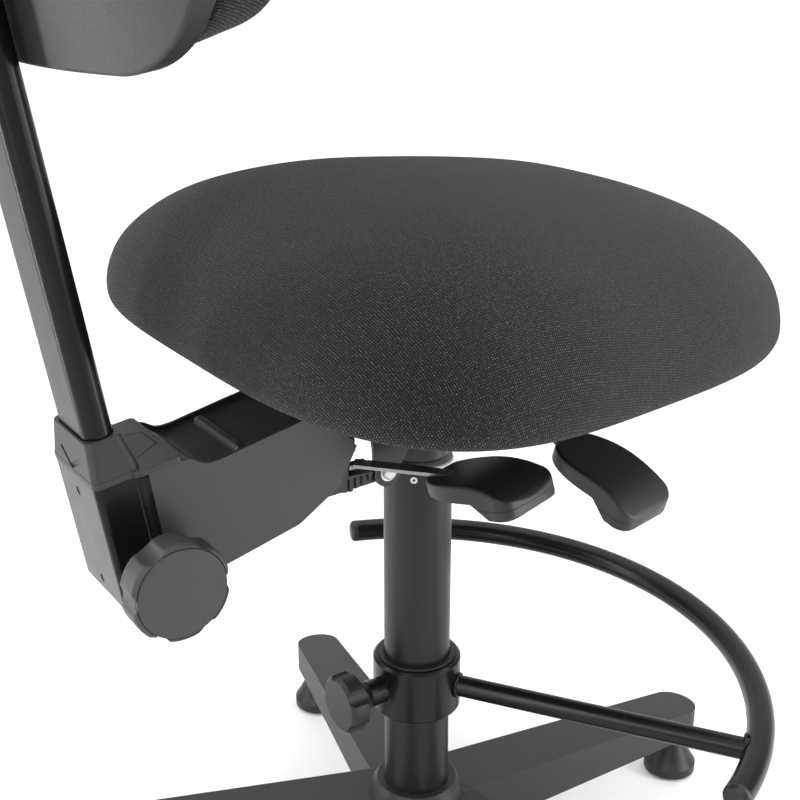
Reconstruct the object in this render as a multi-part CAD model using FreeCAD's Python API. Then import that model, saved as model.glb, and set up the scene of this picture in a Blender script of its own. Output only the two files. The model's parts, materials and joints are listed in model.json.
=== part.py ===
import FreeCAD, Part
import os
from math import cos, pi, radians, sin, sqrt

# Swivel throne for a seated player: star base on glides, gas lift, foot ring, seat
# mechanism with two paddle levers, domed seat and a height-adjustable backrest.
# Millimetres. +Z up, origin on the floor under the column axis.
# The sitter faces -Y, the backrest is at +Y and both levers are on the -X side.

V = FreeCAD.Vector
X_AXIS = V(1, 0, 0)
Y_AXIS = V(0, 1, 0)
Z_AXIS = V(0, 0, 1)

# ---- driving dimensions ----
# clearances
SLIDE_GAP = 0.35            # between bodies that slide or turn past each other
FIT_GAP = 0.08              # radial, a pin or shaft running in its bore
SEAT_FIT = 0.05             # radial, pieces seated together in one body

# base
LEG_COUNT = 5
LEG_ANGLE = -87.5           # one leg points almost straight to the front
LEG_REACH = 325.5
LEG_END_HALF = 20.5
LEG_ROOT_HALF = 27.0
LEG_RIM = 15.0
LEG_TOP_END = 70.0
LEG_TOP_ROOT = 114.0
LEG_SOLE_END = 43.0
LEG_SOLE_ROOT = 70.0
LEG_WALL = 4.5
HUB_BOTTOM = 52.0
HUB_TOP = 128.0
HUB_HALF_TOP = 33.0
HUB_HALF_BOTTOM = 47.0
GLIDE_REACH = 306.0
GLIDE_HALF = 24.0
GLIDE_TOP = 41.6
GLIDE_STEM_HALF = 5.4

# column and gas lift
COLUMN_HALF = 25.0
COLUMN_BORE = 23.0
COLUMN_BOTTOM = 56.0
COLUMN_TOP = 400.0
FLANGE_HALF = 26.0
FLANGE_TOP = 404.0
BUSH_LENGTH = 82.0
LIFT_HALF = 14.0
LIFT_TAPER_HALF = 13.4
LIFT_BOTTOM = 90.0
LIFT_TOP = 450.0
LIFT_CAVITY_HALF = 11.0
LIFT_CAVITY_TOP = 425.0
LIFT_STROKE = 200.0
GLAND_LENGTH = 14.0
ROD_HALF = 5.0
ROD_BOTTOM = 50.0
PISTON_LENGTH = 14.0
VALVE_HALF = 2.9
VALVE_TOP = 459.5
SOCKET_HALF = 22.5
SOCKET_BOTTOM = 407.0
SOCKET_TOP = 455.0

# foot ring
RING_HALF = 257.0
RING_TUBE_HALF = 10.0
RING_WALL = 2.0
RING_HEIGHT = 218.5
RING_END_ANGLE = 68.2       # from the front, where the tube ends and its plug starts
RING_PLUG_LENGTH = 6.0
SPOKE_ANGLE = 56.0
SPOKE_HALF = 8.0
COLLAR_HALF = 33.5
COLLAR_LENGTH = 44.0
LINER_HALF = 27.5
CLAMP_SCREW_HALF = 4.0
CLAMP_BOSS_REACH = 46.0

# mechanism
HOUSING_HALF = 31.5
HOUSING_WALL = 3.0
HOUSING_FRONT = -88.0
HOUSING_REAR = 62.0
HOUSING_WEB = 444.0
HOUSING_SILL = 440.0
HOUSING_RIM = 470.0
RECLINE_Y = 46.5
RECLINE_Z = 413.5
RECLINE_PIN_HALF = 4.0
TILT_Y = -78.0
TILT_Z = 460.0
TILT_PIN_HALF = 5.0
QUADRANT_Y = 50.0
QUADRANT_Z = 455.0
TILT_TRAVEL = 6.0
HEIGHT_LEVER_X = -20.0
HEIGHT_LEVER_Z = 454.0
LOCK_LEVER_X = -31.0
LOCK_LEVER_Z = 424.5

# paddles: length s, half width and thickness n of the moulded grip
PADDLE_LENGTH = 76.0
PADDLE_KNEE = 46.0
PADDLE_HALF = 27.0
PADDLE_ROOT_HALF = 14.4
PADDLE_THICK = 11.7
PADDLE_DROOP = 11.0
PADDLE_TIP_DEPTH = 23.5
PADDLE_ROUNDS = (4.2, 3.2, 2.4, 1.6)    # edge roundings, the largest that the shape takes is used
LOCK_PADDLE = (V(-64.5, 27.0, 422.8), 12.8, 14.7, 4.0)
HEIGHT_PADDLE = (V(-85.5, -67.0, 431.4), 12.2, -15.5, 0.0)

# seat
SEAT_Y = -31.5
SEAT_Z = 505.0
SEAT_TILT = 3.7
SEAT_HALF_WIDTH = 207.0
SEAT_FRONT = 229.0
SEAT_BACK = 212.0
SEAT_SQUARE = 3.23
SEAT_FLARE = 0.215 / 200.0
SEAT_RISE = 104.0
SEAT_DROP = 9.0
SEAT_DOME = 2.22
BOARD_INSET = 20.0
BOARD_THICK = 10.0
SEAT_PLATE_HALF = 80.0
SEAT_PLATE_FRONT = -105.0
SEAT_PLATE_REAR = 68.0
SHEET = 2.5
SEAT_EAR_INNER = 32.0

# backrest arm
ARM_HALF = 37.5
ARM_WALL = 2.5
ARM_RECESS = 3.0
STRIP_REACH = 3.5           # of the cheek's turned-in rear edge, across the receiver's front
STRIP_LAP = 1.7             # of the same edge, along the receiver's side
YOKE_OUTER = 27.5
YOKE_WALL = 3.0
LEAN = 9.0
POST_Y = 233.8
POST_Z = 420.0
POST_HALF_WIDTH = 27.0
POST_HALF_DEPTH = 9.5
POST_ROUND = 0.97           # side rounding as a share of the half depth
POST_WALL = 2.5
POST_BOTTOM = -42.5
POST_TOP = 436.0
RECEIVER_HALF_WIDTH = 34.0
RECEIVER_FRONT = -19.5
RECEIVER_BACK = 14.5
RECEIVER_BOTTOM = -50.0
RECEIVER_TOP = 34.5
CAP_TOP = 38.5
GROOVE_WIDTH = 0.6
NOTCH_WIDTH = 3.0           # V-shaped channel in the collar's back
NOTCH_DEPTH = 1.2
COLLAR_TOP = 62.0
KNOB_Y = 221.2
KNOB_Z = 394.8
KNOB_FACE_X = -78.0
KNOB_BACK_X = -52.0
KNOB_HALF = 32.0
KNOB_FACE_HALF = 28.7
KNOB_LOBES = 6
KNOB_SCREW_HALF = 5.0

# backrest
BACK_CENTRE = 400.0
BACK_HALF_WIDTH = 180.0
BACK_HALF_HEIGHT = 125.0
BACK_CORNER = 70.0
BACK_BEND = 500.0
BACK_PLATE_FACE = -9.7
BACK_PLATE_THICK = 4.0
SHELL_THICK = 3.0
SHELL_RIM = 12.0            # depth of the shell's rim, level with the board's front
BACK_BOARD_THICK = 9.0
BACK_PAD_THICK = 50.0

NUDGE = 0.1                 # small set-off that keeps seated faces apart
WELD_LAP = 0.5              # how far one welded sheet reaches into the next

# smaller features
HUB_WAIST = 92.0
POCKET_START = 62.0
POCKET_END = 284.0
POCKET_COUNT = 5
POCKET_RIB = 3.5
GLIDE_FLOOR = 7.0
GLIDE_SOCKET_TOP = 64.0
RIVET_HEIGHT = 395.0
RIVET_HALF = 1.6
BEARING_FLOOR = 62.2
RACE_HALF = 13.0
RACE_THICK = 1.8
BALL_HALF = 1.5
BALL_COUNT = 12
BALL_REACH = 9.0
ROD_SHOULDER = BEARING_FLOOR + 2 * RACE_THICK + 2 * (BALL_HALF + SEAT_FIT) + NUDGE
KNOB_CHAMFER = 2.6
KNOB_NECK_SHARE = 0.42
SCALLOP_SHARE = 0.34
SCALLOP_DEPTH = 3.2
RING_KNOB_HALF = 22.0
RING_KNOB_LENGTH = 20.0
RING_KNOB_LOBES = 5
QUADRANT_HALF = 4.0
QUADRANT_HEAD_HALF = 7.0
QUADRANT_HEAD = 4.0
SLOT_STEPS = 8
SEAT_EAR_OUTLINE = ((-92, 490.5), (-90, 455), (-84, 449), (-70, 449), (-60, 462), (-40, 472), (24, 474),
                    (38, 448), (42, 444), (58, 444), (63, 449), (64, 500.6))
SEAT_SCREW_X = 62.0
SEAT_SCREW_ROWS = (-55.0, 82.0)
PLATE_CORNER = 22.0
PLATE_HOLES = (-35.0, 15.0, 60.0)
PLATE_HOLE_HALF = 17.0
LOCK_PIN_HALF = 2.0
LOCK_STRIP = (V(-30.2, 73.0, 425.6), V(-64.5, 34.5, 422.6))
LOCK_TANG = (V(-61.0, 38.4, 422.9), V(-96.0, 21.0, 426.5))
LOCK_STRIP_WIDTH = 11.0
LOCK_STRIP_THICK = 2.4
HEIGHT_PIN_HALF = 3.0
HEIGHT_STEM = (V(-21.0, -56.5, 454.5), V(-84.0, -66.8, 425.4))
HEIGHT_TANG = (V(-82.0, -66.3, 425.9), V(-112.0, -72.8, 417.0))
HEIGHT_BAR_WIDTH = 14.0
HEIGHT_BAR_THICK = 3.0
FINGER_OUTLINE = ((-23, -58), (-17, -58), (4, -8), (4, 4), (-4, 4), (-8, -6), (-23, -44))
FINGER_FOOT = 1.3
FINGER_TOP = 3.5
BLOCK_OUTLINE = ((61, 418.5), (62.5, 413), (79, 407.6), (89.5, 409.5), (96, 416), (94, 431), (87, 434),
                 (80.4, 431), (80.4, 419.5))
BLOCK_GROOVES = 4
BLOCK_GROOVE_START = 64.5
BLOCK_GROOVE_PITCH = 5.0
BLOCK_GROOVE_WIDTH = 2.2
BLOCK_GROOVE_DEPTH = 1.4
BLOCK_GROOVE_TOP = 417.4
ARM_TOP_LINE = ((75.0, 441.5), (86.0, 455.5), (97.0, 466.6), (107.0, 469.8), (118.0, 467.3), (132.0, 464.3),
                (146.0, 461.2), (163.0, 457.6), (177.0, 455.0), (185.0, 455.6), (192.5, 459.6),
                (199.5, 460.3), (221.0, 457.0))
ARM_FOOT_LINE = ((208.5, 374.2), (168.0, 383.9), (119.5, 396.2), (99.0, 409.2), (89.5, 414.0))
ARM_FOOT_ROUND = 14.0
BEAD_Y = 156.5
BEAD_Z = 454.6
BEAD_HALF = 4.6
BEAD_REACH = 27.0
YOKE_OUTLINE = ((40, 410.5), (48, 406.6), (96, 404.5), (150, 398), (150, 428), (98, 428), (70, 418.6),
                (50, 419.4), (42, 419))
YOKE_EYE_HALF = 7.0
YOKE_WEB_FRONT = 104.0
YOKE_REAR = 150.0
YOKE_TOP = 428.0
RECEIVER_ROUND = 4.5
SET_SCREW_HALF = 2.7
SET_SCREW_HEIGHTS = (-41.0, 22.5)
BACK_SCREW_X = 45.0
BACK_SCREW_RISE = 32.0
BACK_PLATE_HALF = 60.0
BACK_PLATE_RISE = 48.0
BACK_PLATE_CORNER = 12.0


# ---- shared shapes ----
def polygon(points):
    return Part.Face(Part.makePolygon(points + [points[0]]))


def prism_x(outline, x_from, x_to):
    """Outline of (y, z) points, drawn out along X."""
    face = polygon([V(x_from, y, z) for y, z in outline])
    return face.extrude(V(x_to - x_from, 0, 0))


def prism_z(outline, z_from, z_to):
    """Outline of (x, y) points, drawn out along Z."""
    face = polygon([V(x, y, z_from) for x, y in outline])
    return face.extrude(V(0, 0, z_to - z_from))


def turned(profile):
    """Closed (radius, z) profile turned about Z."""
    return polygon([V(r, 0, z) for r, z in profile]).revolve(V(0, 0, 0), Z_AXIS, 360)


def rod(start, direction, half, length):
    return Part.makeCylinder(half, length, start, direction)


def box(low, high):
    return Part.makeBox(high.x - low.x, high.y - low.y, high.z - low.z, low)


def tube_z(half, bore, z_from, z_to):
    outer = rod(V(0, 0, z_from), Z_AXIS, half, z_to - z_from)
    return outer.cut(rod(V(0, 0, z_from), Z_AXIS, bore, z_to - z_from))


def mirrored(shape):
    """The shape and its mirror image across the YZ plane."""
    return [shape, shape.mirror(V(0, 0, 0), X_AXIS)]


def fused(shapes):
    whole = shapes[0]
    for piece in shapes[1:]:
        whole = whole.fuse(piece)
    return whole.removeSplitter()


def edges_along(shape, axis, accept=lambda centre: True):
    """Straight edges parallel to an axis whose middle point is accepted."""
    found = []
    for edge in shape.Edges:
        if not isinstance(edge.Curve, Part.Line):
            continue
        direction = edge.Curve.Direction
        if abs(direction.dot(axis)) > 0.999 and accept(edge.CenterOfMass):
            found.append(edge)
    return found


def softened(shape, radius, edges):
    """Rounds the edges; a radius that the corner can't take is halved once."""
    for size in (radius, radius / 2):
        try:
            rounded = shape.makeFillet(size, edges)
            if rounded.isValid() and rounded.Volume > 0:
                return rounded
        except Part.OCCError:
            continue
    return shape


def superellipse(angle, half_x, half_y, power):
    c, s = cos(angle), sin(angle)
    reach = (abs(c / half_x) ** power + abs(s / half_y) ** power) ** (-1 / power)
    return reach * c, reach * s


def smooth_loop(points):
    curve = Part.BSplineCurve()
    curve.interpolate(Points=points, PeriodicFlag=True)
    return Part.Wire(curve.toShape())


# ---- base ----
def at_leg(shape, number):
    turned_shape = shape.copy()
    turned_shape.rotate(V(0, 0, 0), Z_AXIS, LEG_ANGLE + number * 360.0 / LEG_COUNT)
    return turned_shape


def all_legs(shape):
    return [at_leg(shape, number) for number in range(LEG_COUNT)]


def leg_top(reach):
    slope = (LEG_TOP_END - LEG_TOP_ROOT) / (LEG_REACH - HUB_HALF_TOP)
    return LEG_TOP_ROOT + slope * (reach - HUB_HALF_TOP)


def leg_sole(reach):
    slope = (LEG_SOLE_END - LEG_SOLE_ROOT) / (LEG_REACH - HUB_HALF_BOTTOM)
    return LEG_SOLE_ROOT + slope * (reach - HUB_HALF_BOTTOM)


def leg_plan(half_root, half_end, start, centre):
    """Tapered tongue with a half-round end, as a face in the XY plane along +X."""
    a, b = V(start, -half_root, 0), V(centre, -half_end, 0)
    c, d = V(centre, half_end, 0), V(start, half_root, 0)
    tip = Part.Arc(b, V(centre + half_end, 0, 0), c).toShape()
    edges = [Part.makeLine(a, b), tip, Part.makeLine(c, d), Part.makeLine(d, a)]
    return Part.Face(Part.Wire(edges))


def leg():
    start = COLUMN_HALF + 2
    centre = LEG_REACH - LEG_END_HALF
    plan = leg_plan(LEG_ROOT_HALF, LEG_END_HALF, start, centre)
    body = plan.extrude(V(0, 0, LEG_TOP_ROOT + 20))
    side = [(start, leg_sole(start)), (LEG_REACH + 1, leg_sole(LEG_REACH)),
            (LEG_REACH + 1, leg_top(LEG_REACH)), (start, leg_top(start))]
    face = polygon([V(x, -40, z) for x, z in side])
    body = body.common(face.extrude(V(0, 80, 0)))
    top = max(body.Faces, key=lambda f: f.CenterOfMass.z)
    rim = [e for e in top.Edges if e.CenterOfMass.x > start + 1]
    return softened(body, LEG_RIM, rim)


def leg_pockets():
    """Hollows under a leg, split by cross ribs."""
    pockets = []
    pitch = (POCKET_END - POCKET_START) / POCKET_COUNT
    for number in range(POCKET_COUNT):
        near = POCKET_START + number * pitch
        far = near + pitch - POCKET_RIB
        taper = (LEG_END_HALF - LEG_ROOT_HALF) / LEG_REACH
        half_near = LEG_ROOT_HALF + taper * near - LEG_WALL
        half_far = LEG_ROOT_HALF + taper * far - LEG_WALL
        plan = [(near, -half_near), (far, -half_far), (far, half_far), (near, half_near)]
        ceiling = leg_top(far) - 3 * LEG_WALL
        pockets.append(prism_z(plan, 0, ceiling))
    return pockets


def base_star():
    hub = turned([(0, HUB_BOTTOM), (HUB_HALF_BOTTOM - 6, HUB_BOTTOM), (HUB_HALF_BOTTOM, HUB_BOTTOM + 8),
                  (HUB_HALF_BOTTOM - 2, HUB_WAIST), (HUB_HALF_TOP + 1, HUB_TOP - 4),
                  (HUB_HALF_TOP - 2, HUB_TOP), (0, HUB_TOP)])
    star = fused([hub] + all_legs(leg()))
    for pocket in leg_pockets():
        star = star.cut(Part.makeCompound(all_legs(pocket)))
    socket = rod(V(GLIDE_REACH, 0, 0), Z_AXIS, GLIDE_STEM_HALF + SEAT_FIT, GLIDE_SOCKET_TOP)
    star = star.cut(Part.makeCompound(all_legs(socket)))
    bore = rod(V(0, 0, COLUMN_BOTTOM), Z_AXIS, COLUMN_HALF + SEAT_FIT, 200)
    return star.cut(bore).cut(rod(V(0, 0, 0), Z_AXIS, 20, 200))


def glide_bodies():
    half = GLIDE_HALF
    cup = turned([(GLIDE_STEM_HALF + SEAT_FIT, GLIDE_FLOOR), (half - 2.5, GLIDE_FLOOR), (half - 2.5, 3),
                  (half, 3), (half, 11),
                  (half - 4, 17), (13, 31), (11.5, GLIDE_TOP), (GLIDE_STEM_HALF + SEAT_FIT, GLIDE_TOP)])
    cup.translate(V(GLIDE_REACH, 0, 0))
    return all_legs(cup)


def glide_stems():
    head, shank = GLIDE_FLOOR + NUDGE, GLIDE_SOCKET_TOP - 2
    half = GLIDE_STEM_HALF
    stem = turned([(0, head), (half, head), (half, shank - 2), (half - 1.5, shank), (0, shank)])
    stem.translate(V(GLIDE_REACH, 0, 0))
    return all_legs(stem)


def glide_pads():
    half = GLIDE_HALF - 2.6
    pad = turned([(0, 0), (half - 1.5, 0), (half, 1.5), (half, GLIDE_FLOOR - NUDGE),
                  (0, GLIDE_FLOOR - NUDGE)])
    pad.translate(V(GLIDE_REACH, 0, 0))
    return all_legs(pad)


# ---- column ----
def rivet_direction():
    """Points out of the column at the little rivet that holds the guide bush."""
    return V(-19.3, 16.7, 0).normalize()


def column_tube():
    tube = tube_z(COLUMN_HALF, COLUMN_BORE, COLUMN_BOTTOM, COLUMN_TOP)
    hole = rod(V(0, 0, RIVET_HEIGHT), rivet_direction(), RIVET_HALF, COLUMN_HALF + 2)
    return tube.cut(hole)


def column_rivet():
    out = rivet_direction()
    start = V(0, 0, RIVET_HEIGHT) + out * (COLUMN_BORE + NUDGE)
    shank = rod(start, out, RIVET_HALF - NUDGE, COLUMN_HALF - COLUMN_BORE)
    head = rod(V(0, 0, RIVET_HEIGHT) + out * (COLUMN_HALF + NUDGE), out, 2.6, 0.6)
    eye = rod(start, out, 0.9, 5)
    return shank.fuse(head).cut(eye)


def guide_bushing():
    low = COLUMN_TOP - BUSH_LENGTH
    bore = LIFT_HALF + FIT_GAP
    return turned([(bore, low), (COLUMN_BORE - SEAT_FIT, low), (COLUMN_BORE - SEAT_FIT, COLUMN_TOP + NUDGE),
                   (FLANGE_HALF, COLUMN_TOP + NUDGE), (FLANGE_HALF, FLANGE_TOP - 1),
                   (FLANGE_HALF - 1, FLANGE_TOP), (bore + 1, FLANGE_TOP), (bore, FLANGE_TOP - 1)])


def column_floor():
    return tube_z(COLUMN_BORE - SEAT_FIT, ROD_HALF + FIT_GAP, COLUMN_BOTTOM, BEARING_FLOOR - NUDGE)


def bearing_race_lower():
    return tube_z(RACE_HALF, ROD_HALF + 0.3, BEARING_FLOOR, BEARING_FLOOR + RACE_THICK)


def bearing_balls():
    centre = BEARING_FLOOR + RACE_THICK + BALL_HALF + SEAT_FIT
    angles = [2 * pi * number / BALL_COUNT for number in range(BALL_COUNT)]
    return [Part.makeSphere(BALL_HALF, V(BALL_REACH * cos(angle), BALL_REACH * sin(angle), centre))
            for angle in angles]


def bearing_race_upper():
    low = BEARING_FLOOR + RACE_THICK + 2 * (BALL_HALF + SEAT_FIT)
    return tube_z(RACE_HALF, ROD_HALF + SEAT_FIT, low, low + RACE_THICK)


def piston_rod():
    piston_foot = LIFT_BOTTOM + GLAND_LENGTH + LIFT_STROKE + 2
    shoulder = rod(V(0, 0, ROD_SHOULDER), Z_AXIS, 8, 4)
    shaft = rod(V(0, 0, ROD_BOTTOM), Z_AXIS, ROD_HALF, piston_foot + PISTON_LENGTH - ROD_BOTTOM)
    groove = tube_z(ROD_HALF + 1, ROD_HALF - 0.8, 52.5, 54.5)
    return shaft.fuse(shoulder).cut(groove)


def rod_clip():
    ring = tube_z(9, ROD_HALF - 0.75, 52.7, 54.3)
    return ring.cut(box(V(0, -2.5, 50), V(12, 2.5, 60)))


def lift_buffer():
    low = ROD_SHOULDER + 4 + NUDGE
    high = LIFT_BOTTOM - 0.5
    bore = ROD_HALF + SEAT_FIT
    return turned([(bore, low), (11, low), (12, low + 2), (12, high - 2), (11, high), (bore, high)])


def piston():
    low = LIFT_BOTTOM + GLAND_LENGTH + LIFT_STROKE + 2
    return tube_z(LIFT_CAVITY_HALF - FIT_GAP, ROD_HALF + SEAT_FIT, low, low + PISTON_LENGTH)


# ---- gas lift, moving half ----
def gas_cylinder():
    body = turned([(0, LIFT_BOTTOM), (LIFT_HALF - 1, LIFT_BOTTOM), (LIFT_HALF, LIFT_BOTTOM + 1),
                   (LIFT_HALF, SOCKET_BOTTOM), (LIFT_TAPER_HALF, LIFT_TOP), (0, LIFT_TOP)])
    cavity = rod(V(0, 0, LIFT_BOTTOM), Z_AXIS, LIFT_CAVITY_HALF, LIFT_CAVITY_TOP - LIFT_BOTTOM)
    valve_bore = rod(V(0, 0, LIFT_CAVITY_TOP - 1), Z_AXIS, VALVE_HALF + FIT_GAP, 40)
    return body.cut(cavity).cut(valve_bore)


def cylinder_gland():
    return tube_z(LIFT_CAVITY_HALF - SEAT_FIT, ROD_HALF + FIT_GAP, LIFT_BOTTOM, LIFT_BOTTOM + GLAND_LENGTH)


def valve_pin():
    dome = 1.2
    low = LIFT_CAVITY_TOP - 10
    return turned([(0, low), (VALVE_HALF, low), (VALVE_HALF, VALVE_TOP - dome),
                   (VALVE_HALF - dome, VALVE_TOP), (0, VALVE_TOP)])


# ---- foot ring ----
def ring_point(angle, reach=RING_HALF):
    """Point at an angle from the front, positive towards +X, in the ring's plane."""
    return V(reach * sin(radians(angle)), -reach * cos(radians(angle)), RING_HEIGHT)


def ring_tangent(angle):
    return V(cos(radians(angle)), sin(radians(angle)), 0)


def ring_arc(half):
    arc = Part.Arc(ring_point(-RING_END_ANGLE), ring_point(0), ring_point(RING_END_ANGLE))
    path = Part.Wire(arc.toShape())
    section = Part.Wire(Part.makeCircle(half, ring_point(-RING_END_ANGLE), ring_tangent(-RING_END_ANGLE)))
    return path.makePipe(Part.Face(section))


def foot_ring():
    return ring_arc(RING_TUBE_HALF).cut(ring_arc(RING_TUBE_HALF - RING_WALL))


def ring_plugs():
    plugs = []
    for sign in (-1, 1):
        mouth = ring_point(sign * RING_END_ANGLE)
        out = ring_tangent(sign * RING_END_ANGLE) * sign
        dome = rod(mouth + out * NUDGE, out, RING_TUBE_HALF, RING_PLUG_LENGTH)
        outer = max(dome.Edges, key=lambda edge: (edge.CenterOfMass - mouth).dot(out))
        dome = dome.makeFillet(4.5, [outer])
        stub = rod(mouth - out * 8, out, RING_TUBE_HALF - RING_WALL - 2 * NUDGE, 9)
        plugs.append(dome.fuse(stub).removeSplitter())
    return plugs


def ring_spokes():
    spokes = []
    for sign in (-1, 1):
        out = ring_point(sign * SPOKE_ANGLE, 1.0) - V(0, 0, RING_HEIGHT)
        root = V(0, 0, RING_HEIGHT) + out * (COLLAR_HALF - 4)
        spoke = rod(root, out, SPOKE_HALF, RING_HALF - COLLAR_HALF + 4)
        spoke = spoke.cut(ring_arc(RING_TUBE_HALF))
        spokes.append(max(spoke.cut(collar_blank()).Solids, key=lambda solid: solid.Volume))
    return spokes


def collar_blank():
    low, high = RING_HEIGHT - COLLAR_LENGTH / 2, RING_HEIGHT + COLLAR_LENGTH / 2
    sleeve = turned([(0, low), (COLLAR_HALF - 2, low), (COLLAR_HALF, low + 2), (COLLAR_HALF, high - 2),
                     (COLLAR_HALF - 2, high), (0, high)])
    boss = rod(V(0, 0, RING_HEIGHT), Y_AXIS, 10, CLAMP_BOSS_REACH)
    return sleeve.fuse(boss)


def clamp_bore():
    return rod(V(0, 0, RING_HEIGHT), Y_AXIS, CLAMP_SCREW_HALF + FIT_GAP, 2 * CLAMP_BOSS_REACH)


def ring_collar():
    bore = rod(V(0, 0, 0), Z_AXIS, LINER_HALF, 400)
    return collar_blank().cut(bore).cut(clamp_bore())


def ring_liner():
    low, high = RING_HEIGHT - COLLAR_LENGTH / 2 - 2, RING_HEIGHT + COLLAR_LENGTH / 2 + 2
    sleeve = tube_z(LINER_HALF - SEAT_FIT, COLUMN_HALF + SLIDE_GAP, low, high)
    for edge_low in (low, high - 2 + NUDGE):
        sleeve = sleeve.fuse(tube_z(LINER_HALF + 2, COLUMN_HALF + SLIDE_GAP, edge_low, edge_low + 2 - NUDGE))
    return sleeve.removeSplitter().cut(clamp_bore())


def ring_clamp_pad():
    return rod(V(0, COLUMN_HALF + SLIDE_GAP, RING_HEIGHT), Y_AXIS, CLAMP_SCREW_HALF, 3)


def ring_clamp_screw():
    start = COLUMN_HALF + SLIDE_GAP + 3 + SLIDE_GAP
    return rod(V(0, start, RING_HEIGHT), Y_AXIS, CLAMP_SCREW_HALF, 70 - start)


def ring_clamp_knob():
    knob = lobed_knob(RING_KNOB_HALF, RING_KNOB_LENGTH, RING_KNOB_LOBES)
    knob.rotate(V(0, 0, 0), X_AXIS, -90)
    knob.translate(V(0, CLAMP_BOSS_REACH + 5, RING_HEIGHT))
    return knob.cut(rod(V(0, 0, RING_HEIGHT), Y_AXIS, CLAMP_SCREW_HALF + SEAT_FIT, 70 + NUDGE))


# ---- knobs ----
def lobed_knob(half, length, lobes):
    """Scalloped grip on the Z axis from z = 0 to its face at z = length."""
    chamfer = KNOB_CHAMFER
    neck = half * KNOB_NECK_SHARE
    grip = turned([(0, 0), (neck, 0), (neck, 3), (half - 4, 3), (half, 6), (half, length - chamfer),
                   (half - chamfer, length), (0, length)])
    scallop_half = half * SCALLOP_SHARE
    reach = half + scallop_half - SCALLOP_DEPTH
    for number in range(lobes):
        angle = 2 * pi * number / lobes
        centre = V(reach * cos(angle), reach * sin(angle), -1)
        grip = grip.cut(rod(centre, Z_AXIS, scallop_half, length + 2))
    return grip


def clamp_knob_frame(shape):
    """Moves a shape from the Z axis to the clamp's axis, its face towards -X."""
    shape.rotate(V(0, 0, 0), Z_AXIS, 90)
    shape.rotate(V(0, 0, 0), Y_AXIS, -90)
    shape.translate(V(KNOB_BACK_X, KNOB_Y, KNOB_Z))
    return shape


def knob_length():
    return KNOB_BACK_X - KNOB_FACE_X


def knob_grip():
    grip = lobed_knob(KNOB_HALF, knob_length(), KNOB_LOBES)
    edges = [e for e in grip.Edges if 7 < e.CenterOfMass.z < knob_length() - 3 and e.Length > 8]
    grip = softened(grip, 1.2, edges)
    recess = rod(V(0, 0, knob_length() - 2.5), Z_AXIS, KNOB_FACE_HALF + 0.25, 5)
    bore = rod(V(0, 0, -1), Z_AXIS, KNOB_SCREW_HALF + SEAT_FIT, 19)
    return clamp_knob_frame(grip.cut(recess).cut(bore))


def knob_face():
    length = knob_length()
    disc = turned([(0, length - 2.4), (KNOB_FACE_HALF, length - 2.4), (KNOB_FACE_HALF, length - 0.5),
                   (KNOB_FACE_HALF - 0.5, length), (0, length + 0.5)])
    return clamp_knob_frame(disc)


def knob_screw():
    outer = rod(V(KNOB_BACK_X - 17.5, KNOB_Y, KNOB_Z), X_AXIS, KNOB_SCREW_HALF, 17.5 - KNOB_BACK_X - 31.0)
    washer = rod(V(-44.5, KNOB_Y, KNOB_Z), X_AXIS, 9, 1.6)
    return outer.fuse(washer)


def clamp_pad():
    return rod(V(-30.6, KNOB_Y, KNOB_Z), X_AXIS, KNOB_SCREW_HALF, 3.8)


# ---- mechanism ----
def taper_socket():
    bore = turned([(0, SOCKET_BOTTOM - 1), (LIFT_HALF + 0.014, SOCKET_BOTTOM - 1),
                   (LIFT_HALF, SOCKET_BOTTOM), (LIFT_TAPER_HALF, LIFT_TOP), (LIFT_TAPER_HALF, SOCKET_TOP + 1),
                   (0, SOCKET_TOP + 1)])
    wall = turned([(0, SOCKET_BOTTOM), (SOCKET_HALF - 1, SOCKET_BOTTOM), (SOCKET_HALF, SOCKET_BOTTOM + 1),
                   (SOCKET_HALF, SOCKET_TOP - 1), (SOCKET_HALF - 1, SOCKET_TOP), (0, SOCKET_TOP)])
    return wall.cut(bore)


def lever_lug(y_from):
    """Ear on the housing's web that carries the height lever's pin."""
    x, z = HEIGHT_LEVER_X, HEIGHT_LEVER_Z
    ear = box(V(x - 5, y_from, HOUSING_WEB + HOUSING_WALL - 1), V(x + 5, y_from + 3, z))
    return ear.fuse(rod(V(x, y_from, z), Y_AXIS, 5, 3))


def recline_ear():
    plate = prism_x([(18, HOUSING_WEB + 1), (35.6, 417), (57.2, 415), (58, 432), (60, HOUSING_WEB + 1)],
                    HOUSING_HALF - HOUSING_WALL, HOUSING_HALF)
    eye = rod(V(HOUSING_HALF - HOUSING_WALL, RECLINE_Y, RECLINE_Z), X_AXIS, 10.8, HOUSING_WALL)
    return plate.fuse(eye)


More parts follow.
